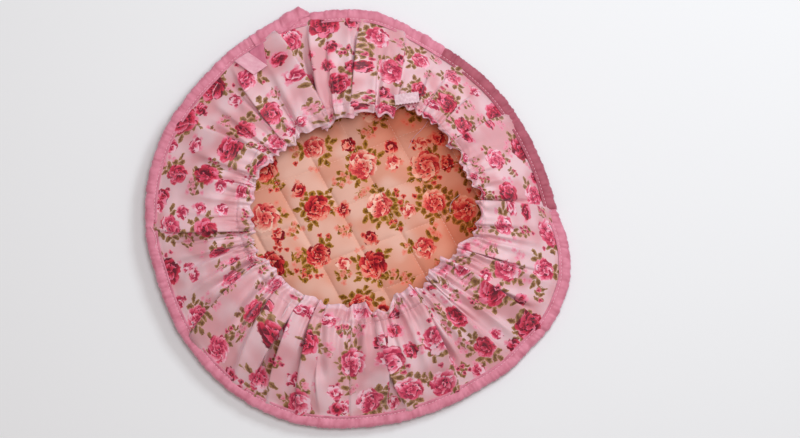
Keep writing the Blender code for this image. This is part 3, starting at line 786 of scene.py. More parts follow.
def row_of_stitches(name, thread_material):
    """Short lengths of thread set end to end along lines, with a gap after each."""
    tree = bpy.data.node_groups.new(name, "GeometryNodeTree")
    tree.is_modifier = True
    tree.interface.new_socket("Lines", in_out="INPUT", socket_type="NodeSocketGeometry")
    for size in ("Stitch length", "Gap", "Thread"):
        tree.interface.new_socket(size, in_out="INPUT", socket_type="NodeSocketFloat")
    tree.interface.new_socket("Stitches", in_out="OUTPUT", socket_type="NodeSocketGeometry")
    given = node(tree, "NodeGroupInput")
    lines, stitch, gap, thread = given.outputs[:4]
    curve = node(tree, "GeometryNodeMeshToCurve", (lines,))
    pitch = node(tree, ADD, (stitch, gap))
    even = node(tree, "GeometryNodeResampleCurve", {"Curve": curve, "Length": pitch},
                mode="LENGTH")
    bead = node(tree, "GeometryNodeMeshUVSphere", {"Segments": 5, "Rings": 4, "Radius": 0.5})
    size = node(tree, "ShaderNodeCombineXYZ", (stitch, thread, thread))
    along_line = node(tree, "GeometryNodeInputTangent")
    turned = node(tree, "FunctionNodeAlignRotationToVector", {"Vector": along_line}, axis="X")
    placed = node(tree, "GeometryNodeInstanceOnPoints",
                  {"Points": even, "Instance": bead, "Rotation": turned, "Scale": size})
    real = node(tree, "GeometryNodeRealizeInstances", (placed,))
    smooth = node(tree, "GeometryNodeSetShadeSmooth", (real,))
    made = node(tree, "GeometryNodeSetMaterial", {"Geometry": smooth, "Material": thread_material})
    node(tree, "NodeGroupOutput", (made,))
    return tree


def sewn(name, lines, group, stitch=STITCH, gap=STITCH_GAP):
    """Stitches along lines of points; a line that ends where it starts runs all round."""
    bm = bmesh.new()
    for line in lines:
        verts = [bm.verts.new(point) for point in line]
        for first, second in zip(verts, verts[1:]):
            bm.edges.new((first, second))
    obj = add_object(name, bm)
    modifier = obj.modifiers.new("Sewing", "NODES")
    modifier.node_group = group
    sizes = {"Stitch length": stitch, "Gap": gap, "Thread": THREAD}
    for socket in group.interface.items_tree:
        if socket.name in sizes:
            modifier[socket.identifier] = sizes[socket.name]
    return applied(obj)


def laid_on(tree, points, from_above=True):
    """Points in plan moved on to the surface that is met first from above or from below."""
    side = 1 if from_above else -1
    placed = []
    for point in points:
        hit = tree.ray_cast(Vector((point.x, point.y, side)), Vector((0, 0, -side)))[0]
        if hit:
            placed.append(hit + Vector((0, 0, side * 0.1 * MM)))
    return placed


def quilting_lines():
    """Runs of points in plan along every quilting line, up to the binding."""
    lines = []
    for direction, pitch, first in (QUILT_LONG, QUILT_CROSS):
        turn = math.radians(direction)
        along_line = Vector((math.cos(turn), math.sin(turn), 0))
        across = Vector((-along_line.y, along_line.x, 0))
        for count in range(-7, 7):
            line = []
            for step in range(-130, 131):
                point = across * (first + count * pitch) + along_line * step * 1.5 * MM
                angle = math.degrees(math.atan2(point.y, point.x))
                if point.length < rim_radius(angle) - BINDING_WIDTH - 1.5 * MM:
                    line.append(point - CENTRE)
            if len(line) > 8:
                lines.append(line)
    return lines


# Loose ends of thread, as points in plan in mm from the middle of the photograph's ring
LOOSE_ENDS = (((60, 86), (55, 79), (48, 72), (43, 62)),
              ((-181, -6), (-178, -12), (-176, -19), (-177, -25)),
              ((-123, 118), (-127, 110), (-126, 103)),
              ((88, 22), (80, 14), (79, 6)))


def build_loose_ends(trees, material):
    """Fine threads that were not trimmed; each runs from one surface down to the next."""
    data = bpy.data.curves.new("loose threads", "CURVE")
    data.dimensions = "3D"
    data.bevel_depth = 0.22 * MM
    data.bevel_resolution = 1
    data.resolution_u = 6
    data.materials.append(material)
    for end in LOOSE_ENDS:
        spots = [Vector((x * MM, y * MM, 0.0)) - CENTRE for x, y in end]
        spline = data.splines.new("BEZIER")
        spline.bezier_points.add(len(spots) - 1)
        for knot, spot in zip(spline.bezier_points, spots):
            height = max(surface_height(tree, spot) for tree in trees) + 0.5 * MM
            knot.co = (spot.x, spot.y, height)
            knot.handle_left_type = knot.handle_right_type = "AUTO"
    curve = bpy.data.objects.new("loose_threads_path", data)
    SCENE.collection.objects.link(curve)
    bpy.context.view_layer.update()
    graph = bpy.context.evaluated_depsgraph_get()
    mesh = bpy.data.meshes.new_from_object(curve.evaluated_get(graph))
    bpy.data.objects.remove(curve)
    threads = bpy.data.objects.new("loose_threads", mesh)
    SCENE.collection.objects.link(threads)
    return threads


def build_sewing(pad, binding, casing, threads):
    """Every row of stitches that shows: quilting, binding, casing."""
    graph = bpy.context.evaluated_depsgraph_get()
    on_pad = BVHTree.FromObject(pad, graph)
    on_binding = BVHTree.FromObject(binding, graph)
    circle = [polar(rim_radius(0.4 * k) - BINDING_WIDTH + SEAM_IN, 0.4 * k) - CENTRE
              for k in range(901)]
    lines = quilting_lines()
    return (
        sewn("quilting_inside", [laid_on(on_pad, line) for line in lines], threads["peach"]),
        sewn("quilting_outside", [laid_on(on_pad, line, False) for line in lines],
             threads["pink"]),
        sewn("binding_stitches", [laid_on(on_binding, circle), laid_on(on_binding, circle, False)],
             threads["pale"]),
        sewn("casing_stitches", [casing + casing[:1]], threads["pale"], 1.9 * MM, 0.9 * MM),
    )


# ==== materials ====================================================================
# Kinds of nodes that come up often, each with the settings that make it one
(ADD, SUBTRACT, MULTIPLY, DIVIDE, MULTIPLY_ADD, POWER, ABSOLUTE, FLOOR, FRACT, SINE, COSINE,
 ARCTAN2, LESS_THAN, GREATER_THAN) = [
    ("ShaderNodeMath", {"operation": name}) for name in (
        "ADD", "SUBTRACT", "MULTIPLY", "DIVIDE", "MULTIPLY_ADD", "POWER", "ABSOLUTE", "FLOOR",
        "FRACT", "SINE", "COSINE", "ARCTAN2", "LESS_THAN", "GREATER_THAN")]
(V_ADD, V_SUBTRACT, V_MULTIPLY, V_MULTIPLY_ADD, V_SCALE, V_LENGTH, V_NORMALIZE, V_DOT) = [
    ("ShaderNodeVectorMath", {"operation": name}) for name in (
        "ADD", "SUBTRACT", "MULTIPLY", "MULTIPLY_ADD", "SCALE", "LENGTH", "NORMALIZE",
        "DOT_PRODUCT")]
MIX = ("ShaderNodeMix", {"data_type": "RGBA"})   # takes a share, the ink below, the ink above
RANGE = "ShaderNodeMapRange"
SMOOTH = (RANGE, {"interpolation_type": "SMOOTHSTEP"})
NOISE = "ShaderNodeTexNoise"
NOISE_2D = (NOISE, {"noise_dimensions": "2D"})
CELLS = ("ShaderNodeTexVoronoi", {"voronoi_dimensions": "2D"})
TURN = ("ShaderNodeVectorRotate", {"rotation_type": "Z_AXIS"})
SPLIT = "ShaderNodeSeparateXYZ"


def node(tree, kind, inputs=(), stops=(), **settings):
    """Add a node; kind is its type, or its type with some settings. inputs go by order over
    the sockets that are in use or, as a dict, by name or index. A node or a socket is
    linked, a hex code is made a colour, any other value is set. stops are a colour ramp's
    places and colours."""
    kind, common = (kind, {}) if isinstance(kind, str) else kind
    made = tree.nodes.new(kind)
    for name, value in {**common, **settings}.items():
        setattr(made, name, value)
    for number, (place, colour) in enumerate(stops):
        if number == len(made.color_ramp.elements):
            made.color_ramp.elements.new(1.0)
        made.color_ramp.elements[number].position = place
        made.color_ramp.elements[number].color = srgb(colour)
    if not isinstance(inputs, dict):
        inputs = dict(zip([k for k, s in enumerate(made.inputs) if s.enabled], inputs))
    for key, value in inputs.items():
        if isinstance(value, bpy.types.Node):
            value = next(s for s in value.outputs if s.enabled)
        if isinstance(value, bpy.types.NodeSocket):
            tree.links.new(value, made.inputs[key])
        else:
            made.inputs[key].default_value = srgb(value) if isinstance(value, str) else value
    return made


def petals(tree, radius, turn, count, offset, outer, lobe):
    """Ring of petals round a heart: how far out a place is, 1 at the ring's lobed edge,
    and where it is across its petal, from 0 to 1."""
    share = node(tree, MULTIPLY_ADD, (turn, count / math.tau, offset))
    side = node(tree, FRACT, (share,))
    off = node(tree, MULTIPLY_ADD, (side, 2.0, -1.0))
    off = node(tree, ABSOLUTE, (off,))
    off = node(tree, POWER, (off, 2.4))
    edge = node(tree, MULTIPLY_ADD, (off, -lobe * outer, outer))
    return node(tree, DIVIDE, (radius, edge)), side


def lattice(tree, place, pitch, randomness):
    """Nearest point of an uneven lattice: its place, the offset and distance from it, and
    three random values of its own."""
    cells = node(tree, CELLS, {"Vector": place, "Scale": 1 / pitch, "Randomness": randomness})
    middle = cells.outputs["Position"]
    offset = node(tree, V_SUBTRACT, (place, middle))
    away = node(tree, V_LENGTH, (offset,))
    return middle, offset, away, node(tree, "ShaderNodeSeparateColor", (cells.outputs["Color"],))


def round_heart(tree, offset):
    """Distance from a heart and angle round it."""
    parts = node(tree, SPLIT, (offset,))
    turn = node(tree, ARCTAN2, (parts.outputs[1], parts.outputs[0]))
    return node(tree, V_LENGTH, (offset,)), turn


def leaf_over(tree, colour, x, y, size, grain, there, inks):
    """A printed leaf along x, laid over a colour: dark in the middle with a lighter rim."""
    half_length, half_width = size
    lengthwise = node(tree, MULTIPLY, (x, 1 / half_length))
    square = node(tree, MULTIPLY, (lengthwise, lengthwise))
    aside = node(tree, ABSOLUTE, (y,))
    aside = node(tree, MULTIPLY, (aside, 1 / half_width))
    blade = node(tree, POWER, (aside, 1.5))
    blade = node(tree, ADD, (blade, square))
    rim = node(tree, MULTIPLY_ADD, (grain, 1.3, -0.65))
    rim = node(tree, ADD, (blade, rim))
    midrib = node(tree, SMOOTH, (rim, 0.0, 0.6, 1.0, 0.0))
    green = node(tree, MIX, (midrib, inks["leaf_edge"], inks["leaf_dark"]))
    body = node(tree, SMOOTH, (rim, 0.6, 1.3, 1.0, 0.0))
    green = node(tree, MIX, (body, inks["leaf_light"], green))
    shown = node(tree, SMOOTH, (blade, 0.87, 1.07, 1.0, 0.0))
    shown = node(tree, MULTIPLY, (shown, there))
    return node(tree, MIX, (shown, colour, green))


ROSE_PITCH = 45.0                    # mm, from one rose of the print to the next
ROSE_SCATTER = 0.45
ROSE_RADIUS = 12.6                   # mm, of a rose of middling size
SMALL_ROSE_RADIUS = 6.4
SMALL_ROSE_SHARE = 0.55              # of the sprigs have a small rose
SPRIG_PITCH = 20.5                   # mm, from one sprig to the next
SPRIG_SCATTER = 0.8
LEAF_PAIR_PITCH = 5.0                # mm, along a sprig's stem
BLOOM_PITCH = 5.8
ROSE_LEAF = (4.3, 2.45)              # mm, half its length and half its width
SPRIG_LEAF = (3.2, 1.8)
RAMP_PLACES = (0.05, 0.24, 0.44, 0.64, 0.88)


def rose_over(tree, colour, offset, luck, size, there, inks):
    """A painted rose round offset's origin, laid over a colour. Its petals swirl round the
    heart, smaller towards it, each dark at its foot and light at its turned edge."""
    spin = node(tree, MULTIPLY, (luck.outputs[0], math.tau))
    offset = node(tree, TURN, {"Vector": offset, "Angle": spin})
    place = node(tree, V_SCALE, (offset, 1 / size))
    radius, turn = round_heart(tree, place)
    swirl = node(tree, MULTIPLY, (radius, 1.5))
    swirled = node(tree, TURN, {"Vector": place, "Angle": swirl})
    outward = node(tree, V_NORMALIZE, (swirled,))
    crowded = node(tree, ADD, (radius, 0.22))
    crowded = node(tree, POWER, (crowded, -0.45))
    swirled = node(tree, V_SCALE, (swirled, crowded))
    own = node(tree, MULTIPLY, (luck.outputs[2], 40.0))
    own = node(tree, "ShaderNodeCombineXYZ", (own, own))
    swirled = node(tree, V_ADD, (swirled, own))
    petal = node(tree, CELLS, {"Vector": swirled, "Scale": 0.235 * size ** 0.98,
                               "Randomness": 0.85})
    chance = node(tree, "ShaderNodeSeparateColor", (petal.outputs["Color"],))
    from_foot = node(tree, V_SUBTRACT, (swirled, petal.outputs["Position"]))
    from_foot = node(tree, V_DOT, (from_foot, outward))
    brush = node(tree, NOISE_2D, {"Vector": offset, "Scale": 0.55, "Detail": 3.0})
    # a petal is lighter towards its edge, by chance, on the upper side, further out, and
    # where the brush was fuller
    lit = node(tree, MULTIPLY_ADD, (from_foot, 1.9, 0.02))
    upper = node(tree, SPLIT, (place,)).outputs[1]
    for cause, weight in ((chance.outputs[0], 0.50), (upper, 0.30), (radius, 0.30),
                          (brush, 0.45)):
        lit = node(tree, MULTIPLY_ADD, (cause, weight, lit))
    lit = node(tree, SUBTRACT, (lit, 0.24), use_clamp=True)
    red, pink = [node(tree, "ShaderNodeValToRGB", (lit,), list(zip(RAMP_PLACES, inks[rose])))
                 for rose in ("red_rose", "pink_rose")]
    is_red = node(tree, LESS_THAN, (luck.outputs[2], inks["red_share"]))
    painted = node(tree, MIX, (is_red, pink, red))
    edge, _ = petals(tree, radius, turn, 6, 0.1, 1.0, 0.17)
    shown = node(tree, SMOOTH, (edge, 0.95, 1.05, 1.0, 0.0))
    shown = node(tree, MULTIPLY, (shown, there))
    return node(tree, MIX, (shown, colour, painted))


def rose_print(name, inks):
    """Scattered cabbage roses among leaves, with sprigs of buds and blossoms between them.

    The roses are 20 to 28 mm across and the small ones about 12 mm, a leaf is 6 to 9 mm
    long and a blossom 5 mm across. Input: the place on the flat cloth in millimetres.
    Output: the printed colour. inks are its colours.
    """
    tree = bpy.data.node_groups.new(name, "ShaderNodeTree")
    tree.interface.new_socket("Place", in_out="INPUT", socket_type="NodeSocketVector")
    tree.interface.new_socket("Colour", in_out="OUTPUT", socket_type="NodeSocketColor")
    flat = node(tree, "NodeGroupInput").outputs[0]
    # Painted edges are never true: the place wavers by about a millimetre.
    drawn = flat
    for scale, sway in ((0.30, 2.6), (1.1, 0.9)):
        wobble = node(tree, NOISE_2D, {"Vector": flat, "Scale": scale, "Detail": 1.0})
        shift = node(tree, V_SUBTRACT, (wobble.outputs["Color"], (0.5, 0.5, 0.5)))
        drawn = node(tree, V_MULTIPLY_ADD, (shift, (sway, sway, 0.0), drawn))
    grain = node(tree, NOISE_2D, {"Vector": flat, "Scale": 0.6, "Detail": 3.0})

    # --- ground, a little patchy ---
    tint = node(tree, NOISE_2D, {"Vector": flat, "Scale": 0.03, "Detail": 1.0})
    patch = node(tree, SMOOTH, (tint, 0.36, 0.64, 0.0, 1.0))
    colour = node(tree, MIX, (patch, inks["ground"], inks["pale"]))

    # --- sprigs: leaves in pairs along a bent stem, clear of the roses ---
    middle, offset, _, luck = lattice(tree, drawn, SPRIG_PITCH, SPRIG_SCATTER)
    _, _, rose_away, _ = lattice(tree, middle, ROSE_PITCH, ROSE_SCATTER)
    aim = node(tree, MULTIPLY, (luck.outputs[0], math.tau))
    local = node(tree, TURN, {"Vector": offset, "Angle": aim})
    run, y, _ = node(tree, SPLIT, (local,)).outputs
    bend = node(tree, MULTIPLY, (run, run))
    y = node(tree, MULTIPLY_ADD, (bend, 0.045, y))
    pair = node(tree, MULTIPLY_ADD, (run, 1 / LEAF_PAIR_PITCH, 0.5))
    pair = node(tree, FRACT, (pair,))
    x = node(tree, MULTIPLY_ADD, (pair, LEAF_PAIR_PITCH, -LEAF_PAIR_PITCH / 2))
    from_stem = node(tree, ABSOLUTE, (y,))
    aside = node(tree, SUBTRACT, (from_stem, 2.3))
    slant = math.radians(52)
    turned = []
    for across_share, along_share in ((math.sin(slant), math.cos(slant)),
                                      (math.cos(slant), -math.sin(slant))):
        first = node(tree, MULTIPLY, (x, along_share))
        second = node(tree, MULTIPLY, (aside, across_share))
        turned.append(node(tree, ADD, (first, second)))
    length = node(tree, MULTIPLY_ADD, (luck.outputs[1], 5.5, 2.6))
    ends = node(tree, ABSOLUTE, (run,))
    there = node(tree, LESS_THAN, (ends, length))
    clear = node(tree, GREATER_THAN, (rose_away, 17.5))
    there = node(tree, MULTIPLY, (there, clear))
    colour = leaf_over(tree, colour, *turned, SPRIG_LEAF, grain, there, inks)
    stem = node(tree, SMOOTH, (from_stem, 0.15, 0.65, 1.0, 0.0))
    stem = node(tree, MULTIPLY, (stem, there))
    colour = node(tree, MIX, (stem, colour, inks["leaf_edge"]))

    # --- leaves of the roses: a fan of three on some of six sides ---
    _, offset, _, luck = lattice(tree, drawn, ROSE_PITCH, ROSE_SCATTER)
    radius, turn = round_heart(tree, offset)
    share = node(tree, ADD, (luck.outputs[0], 1.0))
    share = node(tree, MULTIPLY_ADD, (turn, 6 / math.tau, share))
    number = node(tree, FLOOR, (share,))
    seed = node(tree, MULTIPLY_ADD, (luck.outputs[2], 91.0, number))
    fan_luck = node(tree, "ShaderNodeTexWhiteNoise", {"W": seed}, noise_dimensions="1D")
    swing = node(tree, SUBTRACT, (share, number))
    swing = node(tree, MULTIPLY_ADD, (swing, math.tau / 6, -math.pi / 6))
    x = node(tree, COSINE, (swing,))
    x = node(tree, MULTIPLY_ADD, (x, radius, -10.3))
    y = node(tree, SINE, (swing,))
    y = node(tree, MULTIPLY, (y, radius))
    there = node(tree, GREATER_THAN, (fan_luck, inks["bare_share"]))
    tilt = node(tree, MULTIPLY_ADD, (fan_luck, 1.4, -0.9))
    y = node(tree, MULTIPLY_ADD, (x, tilt, y))
    aside = node(tree, ABSOLUTE, (y,))
    for slant, reach in ((1.05, 4.2), (0.0, 7.2)):
        along_it = node(tree, MULTIPLY_ADD, (x, math.cos(slant), -reach))
        along_it = node(tree, MULTIPLY_ADD, (aside, math.sin(slant), along_it))
        across_it = node(tree, MULTIPLY, (aside if slant else y, math.cos(slant)))
        across_it = node(tree, MULTIPLY_ADD, (x, -math.sin(slant), across_it))
        colour = leaf_over(tree, colour, along_it, across_it, ROSE_LEAF, grain, there, inks)

    # --- blossoms on some sprigs, buds on the others, clear of the roses ---
    middle, offset, _, luck = lattice(tree, drawn, BLOOM_PITCH, 0.8)
    _, _, rose_away, _ = lattice(tree, middle, ROSE_PITCH, ROSE_SCATTER)
    _, _, sprig_away, sprig_luck = lattice(tree, middle, SPRIG_PITCH, SPRIG_SCATTER)
    clear = node(tree, GREATER_THAN, (rose_away, 15.5))
    near = node(tree, SMOOTH, (sprig_away, 7.59, 7.61, 1.0, 0.0))
    there = node(tree, MULTIPLY, (clear, near))
    radius, turn = round_heart(tree, offset)
    first = node(tree, ADD, (turn, luck.outputs[0]))
    bloom, _ = petals(tree, radius, first, 5, 0.2, 2.7, 0.42)
    is_bloom = node(tree, LESS_THAN, (sprig_luck.outputs[0], 0.55))
    shown = node(tree, SMOOTH, (bloom, 0.88, 1.12, 1.0, 0.0))
    for share in (there, is_bloom, 0.85):
        shown = node(tree, MULTIPLY, (shown, share))
    heart = node(tree, SMOOTH, (bloom, 0.2, 0.5, 1.0, 0.0))
    heart = node(tree, MIX, (heart, inks["bloom"], inks["pink"]))
    colour = node(tree, MIX, (shown, colour, heart))
    bud, side = petals(tree, radius, first, 3, 0.0, 2.5, 0.3)
    shown = node(tree, SMOOTH, (bud, 0.85, 1.05, 1.0, 0.0))
    is_bud = node(tree, MULTIPLY_ADD, (is_bloom, -1.0, 1.0))
    some = node(tree, GREATER_THAN, (luck.outputs[1], 0.35))
    for share in (there, is_bud, some):
        shown = node(tree, MULTIPLY, (shown, share))
    petal = node(tree, MIX, (side, inks["deep"], inks["red"]))
    heart = node(tree, SMOOTH, (bud, 0.3, 0.9, 1.0, 0.0))
    petal = node(tree, MIX, (heart, inks["pink"], petal))
    heart = node(tree, SMOOTH, (radius, 0.35, 0.75, 1.0, 0.0))
    petal = node(tree, MIX, (heart, petal, inks["dot"]))
    colour = node(tree, MIX, (shown, colour, petal))

    # --- roses: small ones at some of the sprigs, then the large ones ---
    middle, offset, _, luck = lattice(tree, drawn, SPRIG_PITCH, SPRIG_SCATTER)
    _, _, rose_away, _ = lattice(tree, middle, ROSE_PITCH, ROSE_SCATTER)
    clear = node(tree, GREATER_THAN, (rose_away, 18.5))
    some = node(tree, LESS_THAN, (luck.outputs[1], SMALL_ROSE_SHARE))
    there = node(tree, MULTIPLY, (clear, some))
    colour = rose_over(tree, colour, offset, luck, SMALL_ROSE_RADIUS, there, inks)
    _, offset, _, luck = lattice(tree, drawn, ROSE_PITCH, ROSE_SCATTER)
    size = node(tree, MULTIPLY_ADD, (luck.outputs[1], 0.34, 0.90))
    offset = node(tree, V_SCALE, (offset, size))
    colour = rose_over(tree, colour, offset, luck, ROSE_RADIUS, 1.0, inks)

    # --- little ink marks in the heart of each rose ---
    specks = node(tree, CELLS, {"Vector": drawn, "Scale": 0.5})
    chance = node(tree, "ShaderNodeSeparateColor", (specks.outputs["Color"],))
    some = node(tree, GREATER_THAN, (chance.outputs[0], 0.72))
    speck = node(tree, SMOOTH, (specks, 0.20, 0.36, 1.0, 0.0))
    speck = node(tree, MULTIPLY, (speck, some))
    heart = node(tree, V_LENGTH, (offset,))
    heart = node(tree, SMOOTH, (heart, 7.0, 10.0, 1.0, 0.0))
    speck = node(tree, MULTIPLY, (heart, speck))
    colour = node(tree, MIX, (speck, colour, inks["dot"]))
    node(tree, "NodeGroupOutput", (colour,))
    return tree


def cloth_material(name, colour_of, roughness, sheen, weave_mm, weave_depth, gloss=0.5, glow=0.0):
    """Woven cloth: a colour, a plain weave in relief and the soft sheen of loose fibres.
    gloss is the strength of its reflection, glow how much light passes through one layer."""
    material = bpy.data.materials.new(name)
    material.use_nodes = True
    tree = material.node_tree
    tree.nodes.clear()
    uv = node(tree, "ShaderNodeUVMap", uv_map="cloth")
    flat = node(tree, V_MULTIPLY, (uv, (1000.0, 1000.0, 0.0)))
    threads = node(tree, V_SCALE, (flat, math.tau / weave_mm))
    parts = node(tree, SPLIT, (threads,))
    warp = node(tree, SINE, (parts.outputs[0],))
    weft = node(tree, SINE, (parts.outputs[1],))
    weave = node(tree, MULTIPLY, (warp, weft))
    slub = node(tree, NOISE_2D, {"Vector": flat, "Scale": 0.9, "Detail": 3.0})
    relief = node(tree, MULTIPLY_ADD, (slub, 1.5, weave))
    raised = node(tree, "ShaderNodeBump", {"Height": relief, "Distance": weave_depth * MM,
                                           "Strength": 0.6})
    shader = node(tree, "ShaderNodeBsdfPrincipled", {
        "Base Color": colour_of(tree, flat), "Normal": raised, "Roughness": roughness,
        "IOR": 1.5, "Specular IOR Level": gloss, "Sheen Weight": sheen,
        "Sheen Roughness": 0.45, "Sheen Tint": "#F6ECFF", "Subsurface Weight": glow,
        "Subsurface Radius": (1.0, 0.5, 0.4), "Subsurface Scale": 1.6 * MM})
    node(tree, "ShaderNodeOutputMaterial", (shader,))
    return material


def plain_material(name, hex_code, roughness, sheen):
    """Thread or paint: one colour with a faint unevenness in its gloss."""
    material = bpy.data.materials.new(name)
    material.use_nodes = True
    tree = material.node_tree
    tree.nodes.clear()
    place = node(tree, "ShaderNodeTexCoord").outputs["Object"]
    patch = node(tree, NOISE, {"Vector": place, "Scale": 400.0})
    rough = node(tree, RANGE, (patch, 0.0, 1.0, roughness - 0.05, roughness + 0.05))
    shader = node(tree, "ShaderNodeBsdfPrincipled",
                  {"Base Color": hex_code, "Roughness": rough, "Sheen Weight": sheen})
    node(tree, "ShaderNodeOutputMaterial", (shader,))
    return material


# Each of these gives the colour of a cloth at a place on the flat piece, in millimetres.
def printed(group):
    return lambda tree, flat: node(tree, "ShaderNodeGroup", (flat,), node_tree=group)


def painted_warm_shade(inner_colour_of):
    """Cloth that turns a deeper orange towards the edge of the mouth, where the pink skirt
    stands over it: painted warm shade and painted glow, for the light that the skirt lets
    through and throws back. It is painted weaker on one side, where more light comes in.
    Its flat cloth starts at the middle."""
    def colour_of(tree, flat):
        # painted warm shade: the print times a warm tint, growing with distance from a point left
        # of the middle
        away = node(tree, V_ADD, (flat, (24.0, 4.0, 0.0)))
        away = node(tree, V_LENGTH, (away,))
        share = node(tree, SMOOTH, (away, 58.0, 118.0, 0.0, 1.0))
        return node(tree, MIX, (share, inner_colour_of(tree, flat), "#FFCDB8"),
                    blend_type="MULTIPLY")
    return colour_of


def pale_free_edge(inner_colour_of):
    """Cloth that is paler along about 3 mm of its free edge."""
    def colour_of(tree, flat):
        wander = node(tree, NOISE_2D, {"Vector": flat, "Scale": 0.12, "Detail": 2.0})
        across = node(tree, SPLIT, (flat,)).outputs[1]
        across = node(tree, MULTIPLY_ADD, (wander, 5.0, across))
        edge = (CLOTH_WIDTH + FRILL_WIDTH) / MM - 1.5
        share = node(tree, RANGE, (across, edge - 1.2, edge + 1.2, 0.0, 0.7))
        return node(tree, MIX, (share, inner_colour_of(tree, flat), "#F3D5DE"))
    return colour_of


def dyed(dark, light, scale):
    """Plain dyed cloth, a little uneven along the strip."""
    def colour_of(tree, flat):
        patch = node(tree, NOISE_2D, {"Vector": flat, "Scale": scale, "Detail": 3.0})
        return node(tree, "ShaderNodeValToRGB", (patch,), ((0.3, dark), (0.7, light)))
    return colour_of


def pieced(first, second, middle, half):
    """Strip whose colour changes to a second one, half a width to each side of a place
    along it, in millimetres."""
    def colour_of(tree, flat):
        run = node(tree, SPLIT, (flat,)).outputs[0]
        away = node(tree, ADD, (run, -middle))
        away = node(tree, ABSOLUTE, (away,))
        share = node(tree, SMOOTH, (away, half - 0.3, half + 0.3, 1.0, 0.0))
        return node(tree, MIX, (share, first(tree, flat), second(tree, flat)))
    return colour_of


# Inks of the pink cloth of the skirt. A rose has five, from its darkest to its palest.
PINK_CLOTH = {
    "ground": "#DDA5AB", "pale": "#E9C8CD", "pink": "#E8758F", "bloom": "#EE9DB2",
    "red": "#D2375A", "deep": "#8F1838", "dot": "#300A19",
    "leaf_dark": "#6E4A26", "leaf_light": "#CDAC80", "leaf_edge": "#A07A4C",
    "red_rose": ("#6A0824", "#A41634", "#CC2A4A", "#E0486A", "#EE84A0"),
    "pink_rose": ("#AC2048", "#D43C60", "#E66684", "#F090A8", "#F8CCD8"),
    "red_share": 0.45,               # of the roses
    "bare_share": 0.50,              # of a rose's six sides have no leaves
}
# The same print in warmer, peach inks, inside the mouth
PEACH_CLOTH = {
    "ground": "#E0A38A", "pale": "#E9BDA9", "pink": "#E66B58", "bloom": "#EC9480",
    "red": "#D23E38", "deep": "#8B1A20", "dot": "#4A1214",
    "leaf_dark": "#694510", "leaf_light": "#D6A85E", "leaf_edge": "#A47628",
    "red_rose": ("#7C101C", "#B41F2A", "#D23A3A", "#E65C50", "#F29C86"),
    "pink_rose": ("#BC3038", "#DE5250", "#EC7C6E", "#F4A793", "#FAD2BC"),
    "red_share": 0.50,
    "bare_share": 0.34,
}
# Middle and half length of the binding's painted shade, a darker stretch, in mm along it
PAINTED_SHADE_STRIP = [math.radians(angle) / 2 * BOUND_RADIUS / MM
              for angle in (BINDING_START + SHADE_STRIP_END, SHADE_STRIP_END - BINDING_START)]
LOOP_BACK_LEG = (36.0, 15.0)         # the same of the ribbon's lower leg: its wrong side, made darker with painted shade under the upper leg


def make_materials():
    """One material for each cloth. Every weave is drawn two to four times coarser than
    real, to show, and its size and depth are in mm."""
    skirt_print = printed(rose_print("rose print on pink", PINK_CLOTH))
    lining_print = printed(rose_print("rose print on peach", PEACH_CLOTH))
    plain_strip = dyed("#C87388", "#E090A6", 0.12)
    # painted shade: a darker pink where the binding turns away from the light
    painted_shade_colour = dyed("#9D4759", "#B1596B", 0.12)
    right_side = dyed("#E8A9BB", "#F3C3CF", 0.2)
    # the lower leg: partly its deeper wrong side, partly painted shade under the upper leg
    wrong_side_and_shade = dyed("#C9708A", "#D58299", 0.2)
    return {
        # cotton poplin, fine and pressed: a low gleam on each fold's crest, and a little
        # light that comes through where it stands up
        "skirt": cloth_material("printed cotton poplin, pink", pale_free_edge(skirt_print),
                                0.45, 0.5, WEAVE_MM, 0.05, gloss=0.5, glow=0.2),
        # the same poplin, rubbed by the table it lies on: a little duller
        "outer": cloth_material("printed cotton poplin on the pad", skirt_print,
                                0.5, 0.5, WEAVE_MM, 0.05, gloss=0.5, glow=0.2),
        # washed cotton lining over wadding: matt, its folds show by their shade alone; towards the
        # mouth's edge it carries painted warm shade and glow from the skirt
        "lining": cloth_material("printed cotton lining, peach", painted_warm_shade(lining_print),
                                 0.82, 0.1, WEAVE_MM, 0.05, gloss=0.2),
        # cotton bias strip, pressed: smoother than the poplin, a satiny gleam on its turn; between
        # two angles it is darker, painted shade where it turns away from the light
        "binding": cloth_material("bias binding, rose pink",
                                  pieced(plain_strip, painted_shade_colour, *PAINTED_SHADE_STRIP),
                                  0.55, 0.35, 0.8, 0.04),
        # woven polyester satin: long floats along the ribbon shine, and its wrong side is duller
        # and deeper;
        # the lower leg's colour is partly that wrong side and partly painted shade under the upper
        # leg
        "ribbon": cloth_material("satin ribbon, pink",
                                 pieced(right_side, wrong_side_and_shade, *LOOP_BACK_LEG),
                                 0.38, 0.2, 1.3, 0.12),
        # knitted elastic, ribs of white polyester over rubber: dull, with shaded furrows
        "elastic": cloth_material("knitted elastic, white", dyed("#DDBDC6", "#F0D8DE", 0.4),
                                  0.8, 0.2, 1.1, 0.12),
        # spun polyester sewing thread: dyed to match, its twist gives a broken shine
        "pink thread": plain_material("sewing thread, pink", "#DC90A4", 0.5, 0.3),
        "pale thread": plain_material("sewing thread, pale pink", "#F0C4CF", 0.5, 0.3),
        "peach thread": plain_material("sewing thread, peach", "#EEBFA6", 0.5, 0.3),
        # rolled matt paint, a cool white: no glare, only soft shadows
        "floor": plain_material("painted studio floor", "#EDF8F8", 0.85, 0.0),
    }


# ==== stage ========================================================================
PHOTO_WIDTH_PX = 800
OBJECT_CENTRE_PX = 358               # across the photograph
SCALE_M_PER_PX = 0.87 * MM
VIEW_ELEVATION = 88.5
CAMERA_DISTANCE = 3.0


